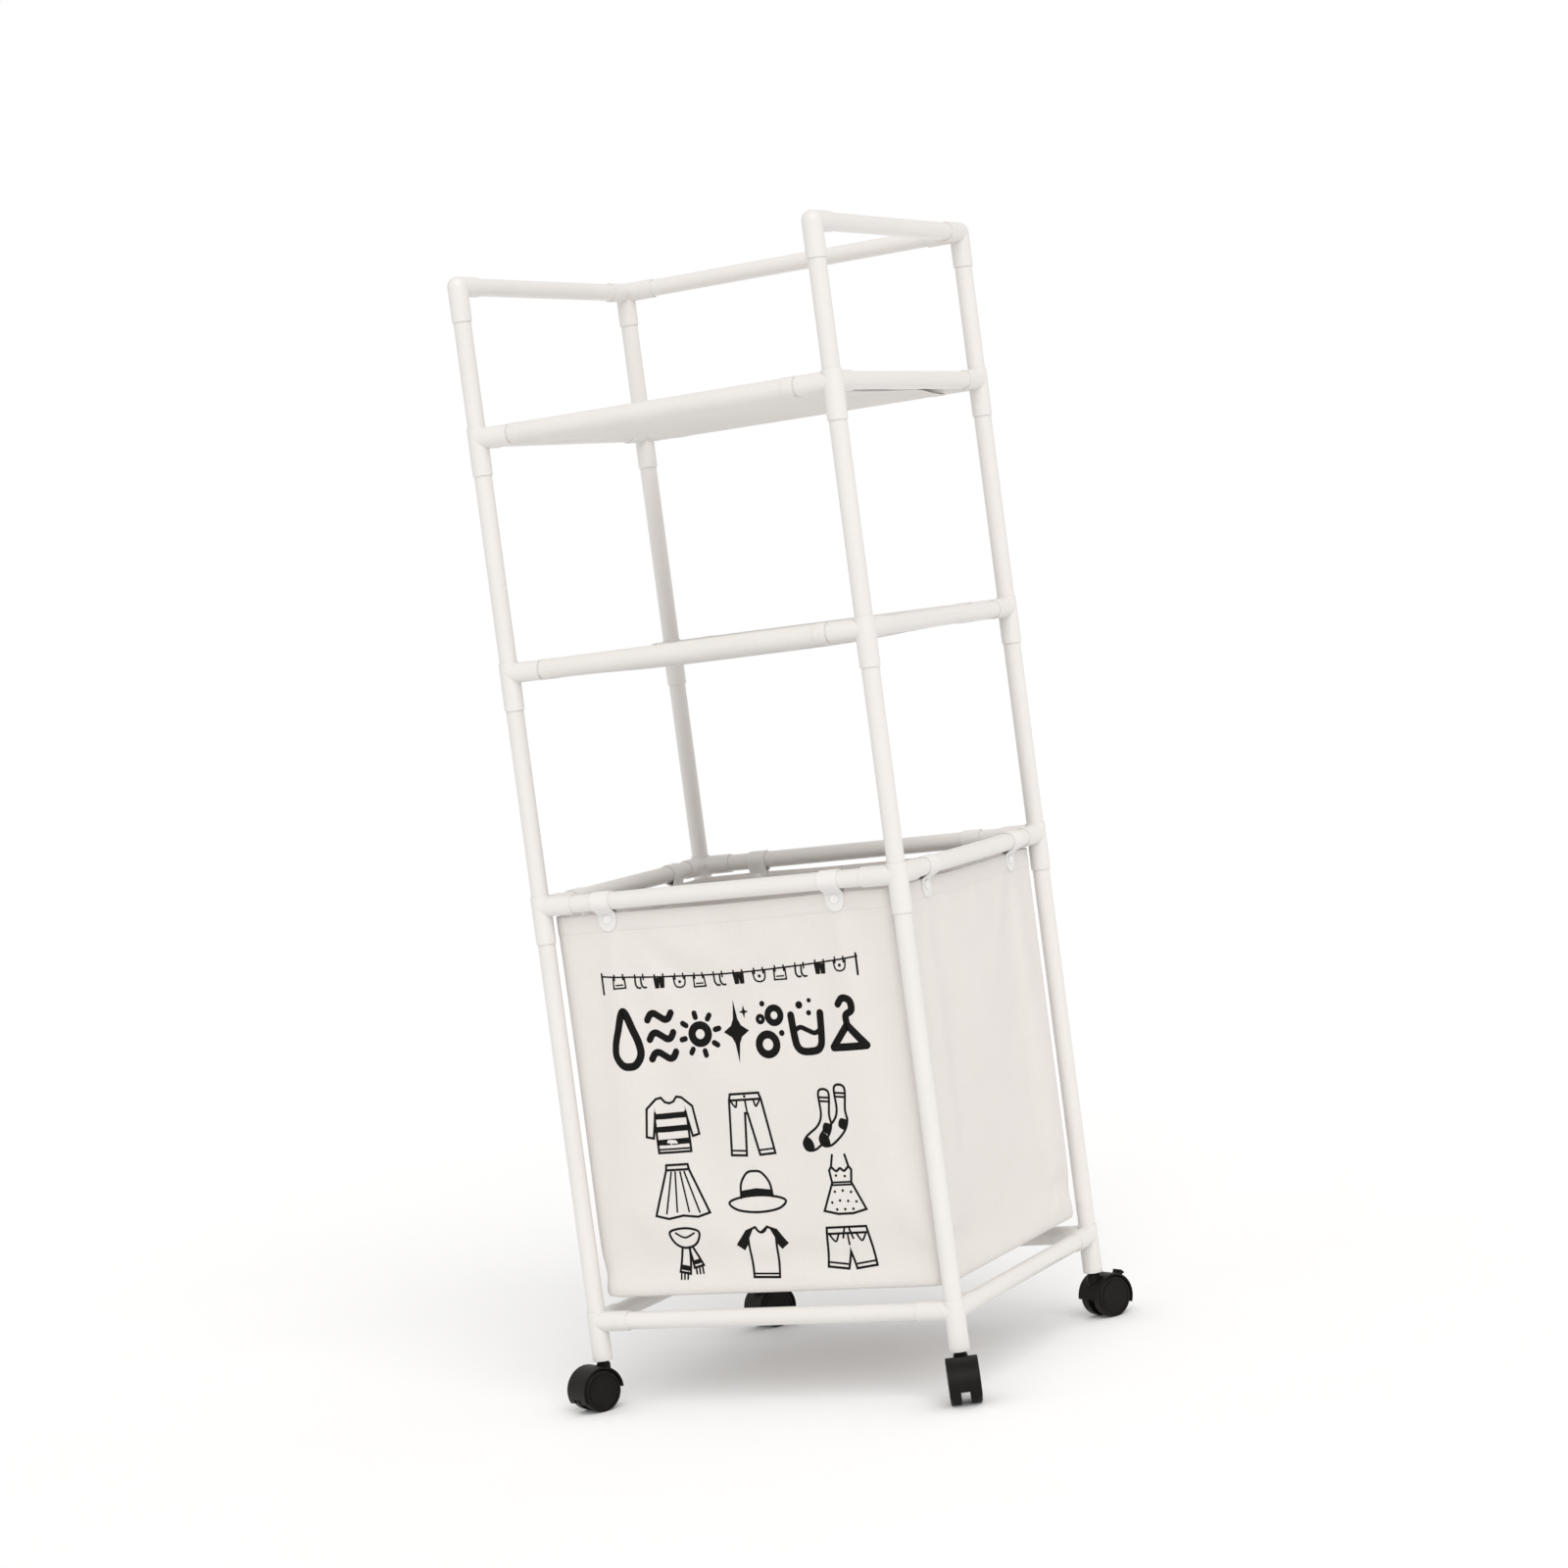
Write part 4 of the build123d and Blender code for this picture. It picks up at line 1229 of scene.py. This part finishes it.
def even(points, closed, step):
    """Points along a line, close enough together for it to follow the cloth."""
    loop = points + points[:1] if closed else points
    close = []
    for a, b in zip(loop, loop[1:]):
        parts = max(1, ceil(hypot(b[0] - a[0], b[1] - a[1]) / step))
        close += [(a[0] + (b[0] - a[0]) * k / parts, a[1] + (b[1] - a[1]) * k / parts)
                  for k in range(parts)]
    if not closed:
        close.append(loop[-1])
    return close


def flat_curve(name, **settings):
    curve = bpy.data.curves.new(name, "CURVE")
    curve.dimensions = "2D"
    for setting, value in settings.items():
        setattr(curve, setting, value)
    return curve


def straight_spline(curve, points, closed):
    """A spline with straight runs between the points, which are in millimetres."""
    spline = curve.splines.new("POLY")
    spline.points.add(len(points) - 1)
    spline.use_cyclic_u = closed
    for point, (x, z) in zip(spline.points, points):
        point.co = (x * MM, z * MM, 0, 1)
    return spline.points


def ink_curves(draw):
    """The drawing as flat curves: ribbons as wide as their line, and filled areas."""
    nib_line = flat_curve("nib")
    straight_spline(nib_line, ((-500, 0), (500, 0)), False)
    nib = placed("nib", nib_line)
    ribbons = flat_curve("ink_lines", fill_mode="NONE", bevel_mode="OBJECT", bevel_object=nib)
    for points, width, closed in draw.lines:
        path = even(points, closed, 2.5)
        if not closed:
            for end, inner in ((0, 1), (-1, -2)):
                (x, z), (nx, nz) = path[end], path[inner]
                length = hypot(x - nx, z - nz) or 1
                heading = ((x - nx) / length, (z - nz) / length)
                tips = [(x + heading[0] * width / 2 * reach, z + heading[1] * width / 2 * reach)
                        for reach in END_REACH]
                path = tips[::-1] + path if end == 0 else path + tips
        for number, point in enumerate(straight_spline(ribbons, path, closed)):
            near = min(number, len(path) - 1 - number)
            narrow = END_WIDTH[near] if not closed and near < len(END_WIDTH) else 1
            point.radius = width * MM * narrow
    fills = flat_curve("ink_areas", fill_mode="BOTH")
    for points in draw.areas:
        straight_spline(fills, even(points, True, 4.0), True)
    pieces = [placed(curve.name, curve) for curve in (ribbons, fills)]
    select_only(*pieces)
    bpy.ops.object.convert(target="MESH")
    bpy.data.objects.remove(nib)
    return pieces


def make_print():
    """The drawing laid on the front of the bag, as a thin layer of ink."""
    draw = Drawing()
    washing_line(draw)
    bold_signs(draw)
    garments(draw)
    ink = join(ink_curves(draw), "hamper_front_print")
    merge_doubles(ink, 0.005 * MM)
    for vertex in ink.data.vertices:
        start = Vector((vertex.co.x, -0.5, vertex.co.y))
        hit, *_ = bag_skin.ray_cast(start, Vector((0, 1, 0)))
        vertex.co = (start.x, hit.y - BAG_WALL / 2 - INK_PROUD, start.z)
    shape = bmesh.new()
    shape.from_mesh(ink.data)
    for face in shape.faces:
        if face.normal.y > 0:
            face.normal_flip()
    shape.to_mesh(ink.data)
    shape.free()
    apply_modifier(ink, "SOLIDIFY", thickness=INK_PROUD, offset=-1)
    return ink


hamper_print = make_print()
belongs(hamper_print, "hamper_print")

# ---- finishes on the CAD pieces ---------------------------------------------------------------

for part in frame["record"]["subparts"]:
    wear(frame["nodes"][part["node"]], FINISHES[part["material_slot"]])

# ---- floor and light --------------------------------------------------------------------------

bpy.ops.object.select_all(action="DESELECT")
bpy.ops.mesh.primitive_plane_add(size=60, location=(0, 0, 0))
floor = settle(fresh("studio_floor"))
paper = Finish("pale studio paper", Specular_IOR_Level=0.1)
paper_grain = paper.noise(paper.place(), 3, 3.0)
wear(floor, paper.set(Base_Color=paper.mix(paper_grain, (0.955, 0.965, 0.975), (0.975, 0.985, 0.995)),
                      Roughness=paper_grain * 0.1 + 0.85))

world = bpy.data.worlds.new("studio")
bpy.context.scene.world = world
world.use_nodes = True
sky = world.node_tree
around_light = sky.nodes["Background"]
around_light.inputs["Color"].default_value = (1.0, 0.985, 0.97, 1)
around_light.inputs["Strength"].default_value = 0.78
seen = sky.nodes.new("ShaderNodeBackground")
seen.inputs["Color"].default_value = (1, 1, 1, 1)
both = sky.nodes.new("ShaderNodeMixShader")
sky.links.new(sky.nodes.new("ShaderNodeLightPath").outputs["Is Camera Ray"], both.inputs["Fac"])
sky.links.new(around_light.outputs["Background"], both.inputs[1])
sky.links.new(seen.outputs["Background"], both.inputs[2])
sky.links.new(both.outputs["Shader"], sky.nodes["World Output"].inputs["Surface"])
bpy.context.scene.view_settings.view_transform = "Standard"
bpy.context.scene.view_settings.look = "None"

# One very broad light from the front right, high up.
key = bpy.data.lights.new("key_light", "SUN")
key.energy = 1.3
key.angle = radians(45)
key.color = (1.0, 0.985, 0.965)
lamp = placed("key_light", key)
lamp.rotation_euler = Vector((-0.75, 0.9, -1.1)).to_track_quat("-Z", "Y").to_euler()

# ---- camera -----------------------------------------------------------------------------------

AIM = Vector((0.0027, 0.0004, 0.6412))
DISTANCE = 3.954
AZIMUTH = radians(27.307)       # how far round to the rack's right it stands
ELEVATION = radians(2.676)
ROLL = radians(-7.533)
LENS = 83.19                    # for a sensor 36 wide

look = Vector((-sin(AZIMUTH) * cos(ELEVATION), cos(AZIMUTH) * cos(ELEVATION), -sin(ELEVATION)))
level = look.cross(Vector((0, 0, 1))).normalized()
upward = level.cross(look)
right = level * cos(ROLL) + upward * sin(ROLL)
top = upward * cos(ROLL) - level * sin(ROLL)
camera = placed("camera", bpy.data.cameras.new("camera"))
axes = Matrix((right, top, -look)).transposed().to_4x4()
camera.matrix_world = Matrix.Translation(AIM - look * DISTANCE) @ axes
camera.data.lens = LENS
camera.data.sensor_width = 36
camera.data.clip_end = 100
bpy.context.scene.camera = camera
